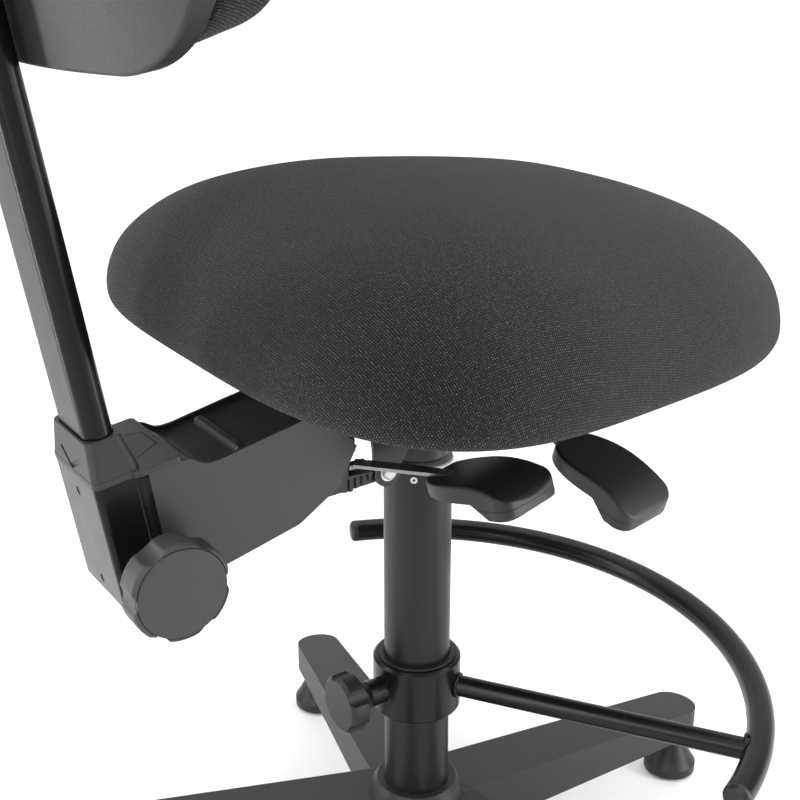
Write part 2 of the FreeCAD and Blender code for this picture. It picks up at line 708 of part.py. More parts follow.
def mech_housing():
    inner = HOUSING_HALF - HOUSING_WALL
    web = box(V(-HOUSING_HALF, HOUSING_FRONT, HOUSING_WEB),
              V(HOUSING_HALF, HOUSING_REAR, HOUSING_WEB + HOUSING_WALL))
    wall = box(V(inner, HOUSING_FRONT, HOUSING_SILL), V(HOUSING_HALF, HOUSING_REAR, HOUSING_RIM))
    wall = softened(wall, 12, edges_along(wall, X_AXIS, lambda c: c.z > HOUSING_WEB))
    front = box(V(-HOUSING_HALF, HOUSING_FRONT, HOUSING_SILL), V(HOUSING_HALF, HOUSING_FRONT + 3, 452))
    pieces = [web, front] + mirrored(wall) + mirrored(recline_ear())
    pieces += [lever_lug(-69.5), lever_lug(-45.5)]
    body = fused(pieces)
    across = 2 * HOUSING_HALF + 2
    body = body.cut(rod(V(0, 0, 400), Z_AXIS, SOCKET_HALF + SEAT_FIT, 100))
    body = body.cut(rod(V(-HOUSING_HALF - 1, TILT_Y, TILT_Z), X_AXIS, TILT_PIN_HALF + SEAT_FIT, across))
    side = -HOUSING_HALF - 1
    body = body.cut(rod(V(side, RECLINE_Y, RECLINE_Z), X_AXIS, RECLINE_PIN_HALF + SEAT_FIT, across))
    body = body.cut(rod(V(side, QUADRANT_Y, QUADRANT_Z), X_AXIS, QUADRANT_HALF + SEAT_FIT, across))
    lever_hole = rod(V(HEIGHT_LEVER_X, -75, HEIGHT_LEVER_Z), Y_AXIS, HEIGHT_PIN_HALF + SEAT_FIT, 40)
    window = box(V(-HOUSING_HALF - 1, -67, 443), V(-inner + 1, -45.5, 464))
    return body.cut(lever_hole).cut(window)


def tilt_pin():
    reach = SEAT_EAR_INNER + SHEET + 0.6
    shaft = rod(V(-reach, TILT_Y, TILT_Z), X_AXIS, TILT_PIN_HALF, 2 * reach)
    heads = mirrored(rod(V(reach, TILT_Y, TILT_Z), X_AXIS, TILT_PIN_HALF + 2.5, 2.5))
    return fused([shaft] + heads)


def tilt_clamp_bolt():
    reach = SEAT_EAR_INNER + SHEET + 0.5
    shaft = rod(V(-reach, QUADRANT_Y, QUADRANT_Z), X_AXIS, QUADRANT_HALF, 2 * reach)
    heads = mirrored(hexagon_x(reach, QUADRANT_Y, QUADRANT_Z, QUADRANT_HEAD_HALF, QUADRANT_HEAD))
    return fused([shaft] + heads)


def hexagon_x(x_from, y, z, half_corners, length):
    outline = [(y + half_corners * cos(k * pi / 3), z + half_corners * sin(k * pi / 3)) for k in range(6)]
    return prism_x(outline, x_from, x_from + length)


def recline_pins():
    inner = YOKE_OUTER - YOKE_WALL - 0.6
    shaft = rod(V(inner, RECLINE_Y, RECLINE_Z), X_AXIS, RECLINE_PIN_HALF, HOUSING_HALF + 0.3 - inner)
    washer = rod(V(HOUSING_HALF + NUDGE, RECLINE_Y, RECLINE_Z), X_AXIS, 6.6, 0.9)
    head = rod(V(HOUSING_HALF + 1.0, RECLINE_Y, RECLINE_Z), X_AXIS, 4.8, 2.6)
    head = softened(head, 1.2, [max(head.Edges, key=lambda e: e.CenterOfMass.x)])
    lip = rod(V(inner - 1.6, RECLINE_Y, RECLINE_Z), X_AXIS, RECLINE_PIN_HALF + 2, 1.6)
    return mirrored(fused([shaft, washer, head, lip]))


def height_lever_pin():
    return rod(V(HEIGHT_LEVER_X, -72, HEIGHT_LEVER_Z), Y_AXIS, HEIGHT_PIN_HALF, 32)


# ---- levers ----
def in_paddle_frame(shape, paddle):
    """From the paddle's own frame (length, side, height) to its place on the throne."""
    root, yaw, pitch, roll = paddle
    turn = FreeCAD.Rotation(Z_AXIS, 180 + yaw)
    turn = turn.multiply(FreeCAD.Rotation(Y_AXIS, -pitch))
    turn = turn.multiply(FreeCAD.Rotation(X_AXIS, roll))
    placed = shape.copy()
    placed.Placement = FreeCAD.Placement(root, turn).multiply(shape.Placement)
    return placed


def paddle_plan():
    tip, half, root = PADDLE_LENGTH, PADDLE_HALF, PADDLE_ROOT_HALF
    side = [(0, root), (5, root + 5.5), (12, half - 3.2), (21, half - 0.6), (PADDLE_KNEE, half),
            (tip - 10, half + 0.4)]
    corner_end = (tip, half - 9)
    upper = [V(s, w, 0) for s, w in side]
    lower = [V(s, -w, 0) for s, w in reversed(side)]
    flank = Part.BSplineCurve()
    flank.interpolate(Points=upper)
    flank_back = Part.BSplineCurve()
    flank_back.interpolate(Points=lower)
    middle = V(tip - 2.9, half - 2.5, 0)
    corner = Part.Arc(upper[-1], middle, V(corner_end[0], corner_end[1], 0)).toShape()
    corner_back = Part.Arc(V(corner_end[0], -corner_end[1], 0), V(middle.x, -middle.y, 0), lower[0]).toShape()
    tip_edge = Part.Arc(V(tip, corner_end[1], 0), V(tip + 1.6, 0, 0), V(tip, -corner_end[1], 0)).toShape()
    root_edge = Part.makeLine(lower[-1], upper[0])
    edges = [flank.toShape(), corner, tip_edge, corner_back, flank_back.toShape(), root_edge]
    return Part.Face(Part.Wire(edges))


def paddle_side():
    """Side outline: flat, then bent down into a thick rounded tip."""
    thick, knee, tip = PADDLE_THICK, PADDLE_KNEE, PADDLE_LENGTH + 2
    end = V(tip - 3, 0, -PADDLE_DROOP)
    corners = [V(tip, 0, -PADDLE_DROOP - 4), V(tip - 2, 0, -PADDLE_TIP_DEPTH),
               V(knee + 12, 0, -PADDLE_TIP_DEPTH), V(knee - 1, 0, -thick - 1.5), V(0, 0, -thick), V(0, 0, 0)]
    top = Part.BSplineCurve()
    top.interpolate(Points=[V(0, 0, 0), V(knee / 2, 0, 0.2), V(knee, 0, -0.4), V(knee + 15, 0, -3.6), end])
    edges = [top.toShape()]
    for corner in corners:
        edges.append(Part.makeLine(end, corner))
        end = corner
    return Part.Face(Part.Wire(edges))


def paddle_blank():
    plan = paddle_plan().extrude(V(0, 0, 60))
    plan.translate(V(0, 0, -40))
    side = paddle_side().extrude(V(0, 80, 0))
    side.translate(V(0, -40, 0))
    grip = plan.common(side)
    for size in PADDLE_ROUNDS:
        try:
            rounded = grip.makeFillet(size, grip.Edges)
            if rounded.isValid() and rounded.Volume > 0:
                return rounded
        except Part.OCCError:
            continue
    return grip


def lock_paddle():
    grip = in_paddle_frame(paddle_blank(), LOCK_PADDLE)
    return grip.cut(lock_lever_bar())


def height_paddle():
    grip = in_paddle_frame(paddle_blank(), HEIGHT_PADDLE)
    return grip.cut(height_lever_bar())


def flat_bar(start, end, width, thick):
    """Straight strip between two points, its width level."""
    along = end - start
    length = along.Length
    along.normalize()
    side = Z_AXIS.cross(along).normalize()
    up = along.cross(side)
    a = start - side * (width / 2) - up * (thick / 2)
    face = polygon([a, a + side * width, a + side * width + up * thick, a + up * thick])
    return face.extrude(along * length)


def lock_lever_bar():
    """Barrel on the lock pin, and the strip from it into the paddle."""
    barrel = rod(V(LOCK_LEVER_X, 66, LOCK_LEVER_Z), Y_AXIS, 3.2, 13)
    strip = flat_bar(*LOCK_STRIP, LOCK_STRIP_WIDTH, LOCK_STRIP_THICK)
    tang = flat_bar(*LOCK_TANG, LOCK_STRIP_WIDTH - 1, LOCK_STRIP_THICK)
    body = fused([barrel, strip, tang])
    return body.cut(rod(V(LOCK_LEVER_X, 60, LOCK_LEVER_Z), Y_AXIS, LOCK_PIN_HALF + FIT_GAP, 30))


def lock_lever_pin():
    return rod(V(LOCK_LEVER_X, 64.5, LOCK_LEVER_Z), Y_AXIS, LOCK_PIN_HALF, 21)


def height_lever_bar():
    """Barrel on its pin, the stem into the paddle and the finger over the valve."""
    x, z = HEIGHT_LEVER_X, HEIGHT_LEVER_Z
    barrel = rod(V(x, -66, z), Y_AXIS, 5, 20)
    stem = flat_bar(*HEIGHT_STEM, HEIGHT_BAR_WIDTH, HEIGHT_BAR_THICK)
    tang = flat_bar(*HEIGHT_TANG, HEIGHT_BAR_WIDTH, HEIGHT_BAR_THICK)
    post = box(V(x - 3, -58, z), V(x + 3, -50, VALVE_TOP + FINGER_TOP))
    finger = prism_z(FINGER_OUTLINE, VALVE_TOP + FINGER_FOOT, VALVE_TOP + FINGER_TOP)
    nose = box(V(-1.5, -1.5, VALVE_TOP + 0.5), V(1.5, 1.5, VALVE_TOP + 2))
    body = fused([barrel, stem, tang, post, finger, nose])
    return body.cut(rod(V(x, -80, z), Y_AXIS, HEIGHT_PIN_HALF + FIT_GAP, 60))


def lever_block():
    """Ribbed plastic carrier for the lock lever, inside the near cheek of the arm."""
    outer = ARM_HALF - ARM_WALL - NUDGE
    block = prism_x(BLOCK_OUTLINE, -outer, -YOKE_OUTER - 0.3)
    for number in range(BLOCK_GROOVES):
        y = BLOCK_GROOVE_START + BLOCK_GROOVE_PITCH * number
        groove = box(V(-outer - 1, y, BLOCK_GROOVE_TOP - 20),
                     V(-outer + BLOCK_GROOVE_DEPTH, y + BLOCK_GROOVE_WIDTH, BLOCK_GROOVE_TOP))
        block = block.cut(groove)
    return block.cut(rod(V(LOCK_LEVER_X, 60, LOCK_LEVER_Z), Y_AXIS, LOCK_PIN_HALF + SEAT_FIT, 26))


# ---- seat ----
def seat_frame(shape):
    """From the seat's own frame (its widest plane at z = 0) to its place, nose down."""
    frame = FreeCAD.Placement(V(0, SEAT_Y, SEAT_Z), FreeCAD.Rotation(X_AXIS, SEAT_TILT))
    placed = shape.copy()
    placed.Placement = frame.multiply(shape.Placement)
    return placed


def seat_point(angle, inset=0.0, scale=1.0):
    half_y = SEAT_FRONT if sin(angle) < 0 else SEAT_BACK
    x, y = superellipse(angle, SEAT_HALF_WIDTH - inset, half_y - inset, SEAT_SQUARE)
    return x * (1 + SEAT_FLARE * y) * scale, y * scale


def seat_section(z, inset=0.0, scale=1.0):
    count = 48
    points = [seat_point(2 * pi * k / count, inset, scale) for k in range(count)]
    return smooth_loop([V(x, y, z) for x, y in points])


def dome_scale(rise):
    return (1 - rise ** SEAT_DOME) ** (1 / SEAT_DOME)


def board_blank(grow):
    low = -SEAT_DROP
    solid = Part.Face(seat_section(low, BOARD_INSET - grow)).extrude(V(0, 0, BOARD_THICK + grow))
    return solid


def seat_cushion():
    rises = (0.0, 0.3, 0.55, 0.75, 0.88, 0.955, 0.99)
    sections = [seat_section(-SEAT_DROP, 6.0), seat_section(-SEAT_DROP * 0.5, 1.2)]
    sections += [seat_section(SEAT_RISE * rise, 0.0, dome_scale(rise)) for rise in rises]
    dome = Part.makeLoft(sections, True, False)
    return seat_frame(dome.cut(board_blank(NUDGE)))


def seat_board():
    board = board_blank(0.0)
    for x, y in seat_screw_places():
        board = board.cut(rod(V(x, y, -SEAT_DROP - 1), Z_AXIS, 4.1, BOARD_THICK + 2))
    return seat_frame(board)


def seat_screw_places():
    """In the seat's frame."""
    return [(side * SEAT_SCREW_X, y) for side in (-1, 1) for y in SEAT_SCREW_ROWS]


def tee_nuts():
    low = -SEAT_DROP
    nut = turned([(3.1, low + 1), (4.0, low + 1), (4.0, low + BOARD_THICK - 2), (3.1, low + BOARD_THICK - 2)])
    return [seat_frame(nut.translated(V(x, y, 0))) for x, y in seat_screw_places()]


def seat_screws():
    top = -SEAT_DROP + 7
    under = -SEAT_DROP - SHEET - 0.3
    screw = turned([(0, under - 3.2), (4.5, under - 3.2), (6, under - 2), (6, under - NUDGE),
                    (3, under - NUDGE), (3, top), (0, top)])
    corners = [(2.2 * cos(k * pi / 3), 2.2 * sin(k * pi / 3)) for k in range(6)]
    socket = prism_z(corners, under - 4, under - 1.4)
    screw = screw.cut(socket)
    return [seat_frame(screw.translated(V(x, y, 0))) for x, y in seat_screw_places()]


def quadrant_slot():
    """Arc slot about the tilt pin that lets the seat drop back by its travel."""
    reach = sqrt((QUADRANT_Y - TILT_Y) ** 2 + (QUADRANT_Z - TILT_Z) ** 2)
    half = QUADRANT_HALF + 0.4
    cutters = []
    for number in range(SLOT_STEPS + 1):
        angle = radians(-0.2 + (TILT_TRAVEL + 0.6) * number / SLOT_STEPS)
        dy, dz = QUADRANT_Y - TILT_Y, QUADRANT_Z - TILT_Z
        y = TILT_Y + dy * cos(angle) - dz * sin(angle)
        z = TILT_Z + dy * sin(angle) + dz * cos(angle)
        cutters.append(rod(V(SEAT_EAR_INNER - 1, y, z), X_AXIS, half, SHEET + 2))
    low_z = QUADRANT_Z
    high_z = QUADRANT_Z + reach * sin(radians(TILT_TRAVEL))
    cutters.append(box(V(SEAT_EAR_INNER - 1, QUADRANT_Y - half, low_z),
                       V(SEAT_EAR_INNER + SHEET + 1, QUADRANT_Y + half - 0.6, high_z)))
    return fused(cutters)


def seat_ear():
    """Cheek hung from the seat plate: the tilt pin's hole in front, the arc slot behind."""
    inner, outer = SEAT_EAR_INNER, SEAT_EAR_INNER + SHEET
    cheek = prism_x(SEAT_EAR_OUTLINE, inner, outer)
    cheek = cheek.cut(rod(V(inner - 1, TILT_Y, TILT_Z), X_AXIS, TILT_PIN_HALF + FIT_GAP, SHEET + 2))
    return cheek.cut(quadrant_slot())


def seat_plate():
    under = -SEAT_DROP - 0.3
    front, rear = SEAT_PLATE_FRONT - SEAT_Y, SEAT_PLATE_REAR - SEAT_Y
    plate = box(V(-SEAT_PLATE_HALF, front, under - SHEET), V(SEAT_PLATE_HALF, rear, under))
    plate = softened(plate, PLATE_CORNER, edges_along(plate, Z_AXIS))
    for x, y in seat_screw_places():
        plate = plate.cut(rod(V(x, y, under - 5), Z_AXIS, 3.3, 10))
    for y in PLATE_HOLES:
        plate = plate.cut(rod(V(0, y, under - 5), Z_AXIS, PLATE_HOLE_HALF, 10))
    plate = seat_frame(plate)
    return fused([plate] + mirrored(seat_ear()))


# ---- backrest arm ----
def lean_frame(shape):
    """From the post's own frame (x, depth, height along the post) to its place."""
    frame = FreeCAD.Placement(V(0, POST_Y, POST_Z), FreeCAD.Rotation(X_AXIS, -LEAN))
    placed = shape.copy()
    placed.Placement = frame.multiply(shape.Placement)
    return placed


def arm_top(drop):
    """Top line of the arm from front to rear: a hump, a dip and the rise to the cap."""
    curve = Part.BSplineCurve()
    curve.interpolate(Points=[V(0, y, z - drop) for y, z in ARM_TOP_LINE])
    return curve.toShape()


def arm_cheek():
    top = arm_top(0.0)
    front, rear = top.Vertexes[0].Point, top.Vertexes[-1].Point
    edges = [top]
    last = rear
    for y, z in ARM_FOOT_LINE:
        edges.append(Part.makeLine(last, V(0, y, z)))
        last = V(0, y, z)
    edges.append(Part.makeLine(last, front))
    face = Part.Face(Part.Wire(Part.sortEdges(edges)[0]))
    cheek = face.extrude(V(ARM_WALL, 0, 0))
    cheek.translate(V(ARM_HALF - ARM_WALL, 0, 0))
    lower = edges_along(cheek, X_AXIS, lambda c: 110 < c.y < 180 and c.z < POST_Z)
    return softened(cheek, ARM_FOOT_ROUND, lower)


def arm_web():
    upper, under = arm_top(ARM_RECESS), arm_top(ARM_RECESS + ARM_WALL)
    ends = [Part.makeLine(upper.Vertexes[k].Point, under.Vertexes[k].Point) for k in (0, 1)]
    face = Part.Face(Part.Wire(Part.sortEdges([upper, under] + ends)[0]))
    half = ARM_HALF - ARM_WALL + WELD_LAP
    web = face.extrude(V(2 * half, 0, 0))
    web.translate(V(-half, 0, 0))
    return web


def arm_bead():
    """Stiffening bead pressed up across the web."""
    bead = rod(V(-BEAD_REACH, BEAD_Y, BEAD_Z), X_AXIS, BEAD_HALF, 2 * BEAD_REACH)
    ends = [Part.makeSphere(BEAD_HALF, V(side * BEAD_REACH, BEAD_Y, BEAD_Z)) for side in (-1, 1)]
    return fused([bead] + ends)


def arm_rear_strip():
    """Turned-in edge of a cheek that closes against the receiver's front corner."""
    strip = box(V(RECEIVER_HALF_WIDTH - STRIP_REACH, RECEIVER_FRONT - ARM_WALL, RECEIVER_BOTTOM + 1.5),
                V(ARM_HALF - ARM_WALL + 2 * NUDGE, RECEIVER_FRONT + STRIP_LAP, RECEIVER_TOP - 0.5))
    return lean_frame(strip)


def arm_bracket():
    outer = fused(mirrored(arm_cheek()) + mirrored(arm_rear_strip()) + [arm_web(), arm_bead()])
    return outer.cut(lean_frame(receiver_blank(SEAT_FIT)))


def arm_yoke():
    """Two plates on the recline pins, joined by a cross web between the arm's cheeks."""
    inner = YOKE_OUTER - YOKE_WALL
    plate = prism_x(YOKE_OUTLINE, inner, YOKE_OUTER)
    plate = plate.fuse(rod(V(inner, RECLINE_Y, RECLINE_Z), X_AXIS, YOKE_EYE_HALF, YOKE_WALL))
    half = ARM_HALF - ARM_WALL - NUDGE
    web = box(V(-half, YOKE_WEB_FRONT, YOKE_TOP - YOKE_WALL), V(half, YOKE_REAR, YOKE_TOP))
    body = fused(mirrored(plate) + [web])
    bore = rod(V(-ARM_HALF, RECLINE_Y, RECLINE_Z), X_AXIS, RECLINE_PIN_HALF + FIT_GAP, 2 * ARM_HALF)
    return body.cut(bore)


def receiver_blank(grow=0.0):
    low, high = RECEIVER_BOTTOM, RECEIVER_TOP
    block = box(V(-RECEIVER_HALF_WIDTH - grow, RECEIVER_FRONT - grow, low),
                V(RECEIVER_HALF_WIDTH + grow, RECEIVER_BACK + grow, high))
    back = edges_along(block, Z_AXIS, lambda c: c.y > 0)
    block = block.makeFillet(RECEIVER_ROUND, back)
    front = edges_along(block, Z_AXIS, lambda c: c.y < 0)
    return block.makeFillet(RECEIVER_ROUND, front)


def post_prism(grow, low, high):
    half_width, half_depth = POST_HALF_WIDTH + grow, POST_HALF_DEPTH + grow
    block = box(V(-half_width, -half_depth, low), V(half_width, half_depth, high))
    return block.makeFillet(half_depth * POST_ROUND, edges_along(block, Z_AXIS))


def receiver():
    block = receiver_blank()
    block = block.cut(post_prism(SLIDE_GAP, RECEIVER_BOTTOM + 4, RECEIVER_TOP + 1))
    for height in SET_SCREW_HEIGHTS:
        hole = rod(V(0, POST_HALF_DEPTH, height), Y_AXIS, SET_SCREW_HALF + NUDGE, 12)
        block = block.cut(hole)
    block = lean_frame(block)
    boss = rod(V(-42, KNOB_Y, KNOB_Z), X_AXIS, 9, 42 - RECEIVER_HALF_WIDTH + 3)
    block = block.fuse(boss).removeSplitter()
    bore = rod(V(-60, KNOB_Y, KNOB_Z), X_AXIS, KNOB_SCREW_HALF + FIT_GAP, 60 - POST_HALF_WIDTH + 3)
    return block.cut(bore)


def receiver_screws():
    """Set screws in the back of the receiver that hold the glide strip."""
    screws = []
    for height in SET_SCREW_HEIGHTS:
        start = POST_HALF_DEPTH + SLIDE_GAP + 0.4
        screw = rod(V(0, start, height), Y_AXIS, SET_SCREW_HALF, 3.6)
        socket = rod(V(0, start + 1.6, height), Y_AXIS, 1.4, 4)
        screws.append(lean_frame(screw.cut(socket)))
    return screws


def collar_section(half_width, front, back, corner, height):
    block = box(V(-half_width, front, 0), V(half_width, back, 1))
    block = block.makeFillet(corner, edges_along(block, Z_AXIS))
    wire = min(block.Faces, key=lambda face: face.CenterOfMass.z).OuterWire
    return wire.translated(V(0, 0, height))


def cap_plate():
    """Flat moulding over the receiver and the rear of the arm."""
    front = -41.5
    half = ARM_HALF + 0.6
    plate = box(V(-half, front, RECEIVER_TOP + NUDGE), V(half, -9, CAP_TOP))
    plate = plate.makeFillet(4, edges_along(plate, Z_AXIS, lambda c: c.y < -30))
    plate = plate.makeFillet(6, edges_along(plate, Z_AXIS, lambda c: c.y > -30))
    rear = collar_section(RECEIVER_HALF_WIDTH + 0.4, -16, RECEIVER_BACK + 0.4, 5, 0)
    rear = Part.Face(rear).extrude(V(0, 0, CAP_TOP - RECEIVER_TOP - NUDGE))
    rear.translate(V(0, 0, RECEIVER_TOP + NUDGE))
    body = fused([plate, rear])
    top = [e for e in body.Edges if abs(e.BoundBox.ZMin - CAP_TOP) < 0.01 and e.CenterOfMass.y < -12]
    body = softened(body, 1.0, top)
    for start, end in cap_grooves():
        body = body.cut(flat_bar(start, end, GROOVE_WIDTH, 2 * GROOVE_WIDTH))
    return body


def cap_grooves():
    """Fine lines in the cap: two that splay towards the collar and one across their front."""
    splayed = [(V(side * 11, -36, CAP_TOP), V(side * 22, -16, CAP_TOP)) for side in (-1, 1)]
    return splayed + [(V(-12, -36.5, CAP_TOP), V(12, -36.5, CAP_TOP))]


def collar_cap():
    lower = collar_section(RECEIVER_HALF_WIDTH + 0.3, -16.5, RECEIVER_BACK + 0.3, 5, CAP_TOP - 1)
    upper = collar_section(29.0, -12.2, 11.4, 6, COLLAR_TOP)
    collar = Part.makeLoft([lower, upper], True, True)
    collar = softened(collar, 0.9, [e for e in collar.Edges if e.BoundBox.ZMin > COLLAR_TOP - 0.1])
    body = fused([cap_plate(), collar])
    body = body.cut(post_prism(SLIDE_GAP, 0, COLLAR_TOP + 5))
    for side in (-1, 1):
        notch = flat_bar(V(side * 15.4, 13.3, 48.2), V(0, 14.5, 39.8), 2 * NOTCH_DEPTH, NOTCH_WIDTH)
        body = body.cut(notch)
    body = lean_frame(body)
    return body.cut(arm_below_cap())


def arm_below_cap():
    """Clearance in the cap for the tops of the arm's cheeks."""
    return fused(mirrored(arm_cheek()))


# ---- backrest ----
def back_post():
    """Flat-oval tube, closed at neither end."""
    outer = post_prism(0.0, POST_BOTTOM, POST_TOP)
    half_width, half_depth = POST_HALF_WIDTH - POST_WALL, POST_HALF_DEPTH - POST_WALL
    inner = box(V(-half_width, -half_depth, POST_BOTTOM - 1), V(half_width, half_depth, POST_TOP + 1))
    inner = inner.makeFillet(half_depth * POST_ROUND, edges_along(inner, Z_AXIS))
    return lean_frame(outer.cut(inner))


def post_plugs():
    half_width, half_depth = POST_HALF_WIDTH - POST_WALL - NUDGE, POST_HALF_DEPTH - POST_WALL - NUDGE
    plugs = []
    for end, sign in ((POST_TOP, 1), (POST_BOTTOM, -1)):
        stub = box(V(-half_width, -half_depth, min(end, end - 12 * sign)),
                   V(half_width, half_depth, max(end, end - 12 * sign)))
        stub = stub.makeFillet(half_depth * POST_ROUND, edges_along(stub, Z_AXIS))
        cap_ends = sorted((end + NUDGE * sign, end + 3 * sign))
        cap = post_prism(0.0, *cap_ends)
        neck = stub.translated(V(0, 0, sign))
        plugs.append(lean_frame(fused([stub, neck, cap])))
    return plugs


def back_screw_places():
    """(x, height) in the post's frame."""
    sides = (-1, 1)
    return [(side * BACK_SCREW_X, BACK_CENTRE + rise * BACK_SCREW_RISE) for side in sides for rise in sides]


def back_plate():
    """Steel plate welded to the front of the post, with four screw holes."""
    plate = box(V(-BACK_PLATE_HALF, BACK_PLATE_FACE - BACK_PLATE_THICK, BACK_CENTRE - BACK_PLATE_RISE),
                V(BACK_PLATE_HALF, BACK_PLATE_FACE, BACK_CENTRE + BACK_PLATE_RISE))
    plate = plate.makeFillet(BACK_PLATE_CORNER, edges_along(plate, Y_AXIS))
    for x, height in back_screw_places():
        plate = plate.cut(rod(V(x, -40, height), Y_AXIS, 3.3, 60))
    return lean_frame(plate)


def shell_back():
    """Depth of the shell's rear face on the centre line."""
    return BACK_PLATE_FACE - BACK_PLATE_THICK - NUDGE


def back_outline(inset):
    half_x, half_z = BACK_HALF_WIDTH - inset, BACK_HALF_HEIGHT - inset
    block = box(V(-half_x, -160, BACK_CENTRE - half_z), V(half_x, 60, BACK_CENTRE + half_z))
    return block.makeFillet(BACK_CORNER - inset, edges_along(block, Y_AXIS))


def bent_layer(front, back):
    """Layer between two depths on the centre line, wrapped forward round the sitter."""
    centre = V(0, shell_back() - BACK_BEND, 0)
    outer = BACK_BEND + back - shell_back()
    inner = BACK_BEND + front - shell_back()
    ring = Part.makeCylinder(outer, 900, centre, Z_AXIS).cut(Part.makeCylinder(inner, 900, centre, Z_AXIS))
    return ring.common(box(V(-250, -200, 0), V(250, 60, 900)))


def back_shell():
    rear = shell_back()
    dish = bent_layer(rear - SHELL_RIM, rear).common(back_outline(0.0))
    hollow = bent_layer(rear - SHELL_RIM - 1, rear - SHELL_THICK).common(back_outline(SHELL_THICK))
    shell = dish.cut(hollow)
    rim = [e for e in shell.Edges if e.Length > 60 and outside_rear(e)]
    shell = softened(shell, 2.2, rim)
    half, rise = BACK_PLATE_HALF + 3 * NUDGE, BACK_PLATE_RISE + 3 * NUDGE
    flat = box(V(-half, rear - 2 * NUDGE, BACK_CENTRE - rise), V(half, rear + 5, BACK_CENTRE + rise))
    shell = shell.cut(flat)
    for x, height in back_screw_places():
        shell = shell.cut(rod(V(x, -40, height), Y_AXIS, 3.3, 60))
    return lean_frame(shell)


def outside_rear(edge):
    """True for the shell's outer rear rim."""
    for vertex in edge.Vertexes:
        point = vertex.Point
        reach = sqrt(point.x ** 2 + (point.y - shell_back() + BACK_BEND) ** 2)
        if abs(reach - BACK_BEND) > 0.01:
            return False
    return True


def back_board():
    rear = shell_back() - SHELL_THICK - NUDGE
    board = bent_layer(rear - BACK_BOARD_THICK, rear).common(back_outline(SHELL_THICK + 1))
    for x, height in back_screw_places():
        board = board.cut(rod(V(x, -60, height), Y_AXIS, 3.1, 80))
    return lean_frame(board)


def back_cushion():
    rear = shell_back() - SHELL_THICK - BACK_BOARD_THICK - 2 * NUDGE
    pad = bent_layer(rear - BACK_PAD_THICK, rear).common(back_outline(0.5))
    return lean_frame(pad)


def back_screws():
    screws = []
    for x, height in back_screw_places():
        head = rod(V(x, BACK_PLATE_FACE + NUDGE, height), Y_AXIS, 5.5, 3.4)
        head = softened(head, 1.4, [max(head.Edges, key=lambda e: e.CenterOfMass.y)])
        shank = rod(V(x, BACK_PLATE_FACE - 16, height), Y_AXIS, 3, 17)
        socket = rod(V(x, BACK_PLATE_FACE + 1.8, height), Y_AXIS, 2, 4)
        screws.append(lean_frame(head.fuse(shank).cut(socket)))
    return screws


NODES = (
    base_star, glide_bodies, glide_stems, glide_pads,
    column_tube, column_rivet, guide_bushing, column_floor, bearing_race_lower,
    bearing_race_upper, bearing_balls, piston_rod, rod_clip, lift_buffer, piston,
    gas_cylinder, cylinder_gland, valve_pin,
    foot_ring, ring_plugs, ring_spokes, ring_collar, ring_liner,
    ring_clamp_pad, ring_clamp_screw, ring_clamp_knob,
    taper_socket, mech_housing, tilt_pin, tilt_clamp_bolt, recline_pins, height_lever_pin,
    height_lever_bar, height_paddle,
    lock_lever_bar, lock_lever_pin, lock_paddle, lever_block,
    seat_plate, seat_board, tee_nuts, seat_screws, seat_cushion,
    arm_bracket, arm_yoke, receiver, receiver_screws, collar_cap,
    clamp_pad, knob_screw, knob_grip, knob_face,
    back_post, post_plugs, back_plate, back_screws, back_shell, back_board, back_cushion,
)


def export(build):
    made = build()
    shape = Part.makeCompound(made) if isinstance(made, list) else made
    if not shape.isValid() or any(not solid.isClosed() for solid in shape.Solids):
        print("NOT VALID:", build.__name__)
    shape.exportStep(os.path.join("parts", build.__name__ + ".step"))
    low, high = shape.BoundBox, shape.BoundBox
    print("%-20s solids %2d  volume %10.0f  z %6.1f to %6.1f" % (
        build.__name__, len(shape.Solids), shape.Volume, low.ZMin, high.ZMax))


os.makedirs("parts", exist_ok=True)
for node in NODES:
    export(node)
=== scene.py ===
"""Looks of the swivel throne: fabric covers, finishes of the hard parts, light and camera."""

import json
import math
import random

import bpy
import numpy as np
from mathutils import Matrix, Vector, noise
from mathutils.bvhtree import BVHTree


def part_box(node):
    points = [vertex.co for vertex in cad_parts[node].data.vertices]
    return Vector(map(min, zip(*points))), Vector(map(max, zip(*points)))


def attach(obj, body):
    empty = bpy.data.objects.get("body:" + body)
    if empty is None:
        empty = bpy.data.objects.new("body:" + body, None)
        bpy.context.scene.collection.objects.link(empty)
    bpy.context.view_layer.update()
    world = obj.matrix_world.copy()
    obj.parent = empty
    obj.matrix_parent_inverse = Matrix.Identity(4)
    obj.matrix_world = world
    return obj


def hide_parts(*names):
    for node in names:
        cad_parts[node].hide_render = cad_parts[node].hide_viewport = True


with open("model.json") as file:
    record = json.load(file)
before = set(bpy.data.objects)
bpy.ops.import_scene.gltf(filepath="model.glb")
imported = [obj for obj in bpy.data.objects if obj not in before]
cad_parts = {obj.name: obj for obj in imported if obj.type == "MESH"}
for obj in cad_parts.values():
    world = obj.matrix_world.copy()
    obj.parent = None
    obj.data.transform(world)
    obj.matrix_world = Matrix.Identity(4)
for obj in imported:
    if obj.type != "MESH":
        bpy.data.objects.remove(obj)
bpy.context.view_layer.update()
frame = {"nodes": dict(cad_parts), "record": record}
nodes = frame["nodes"]
random.seed(7)

MM = 0.001

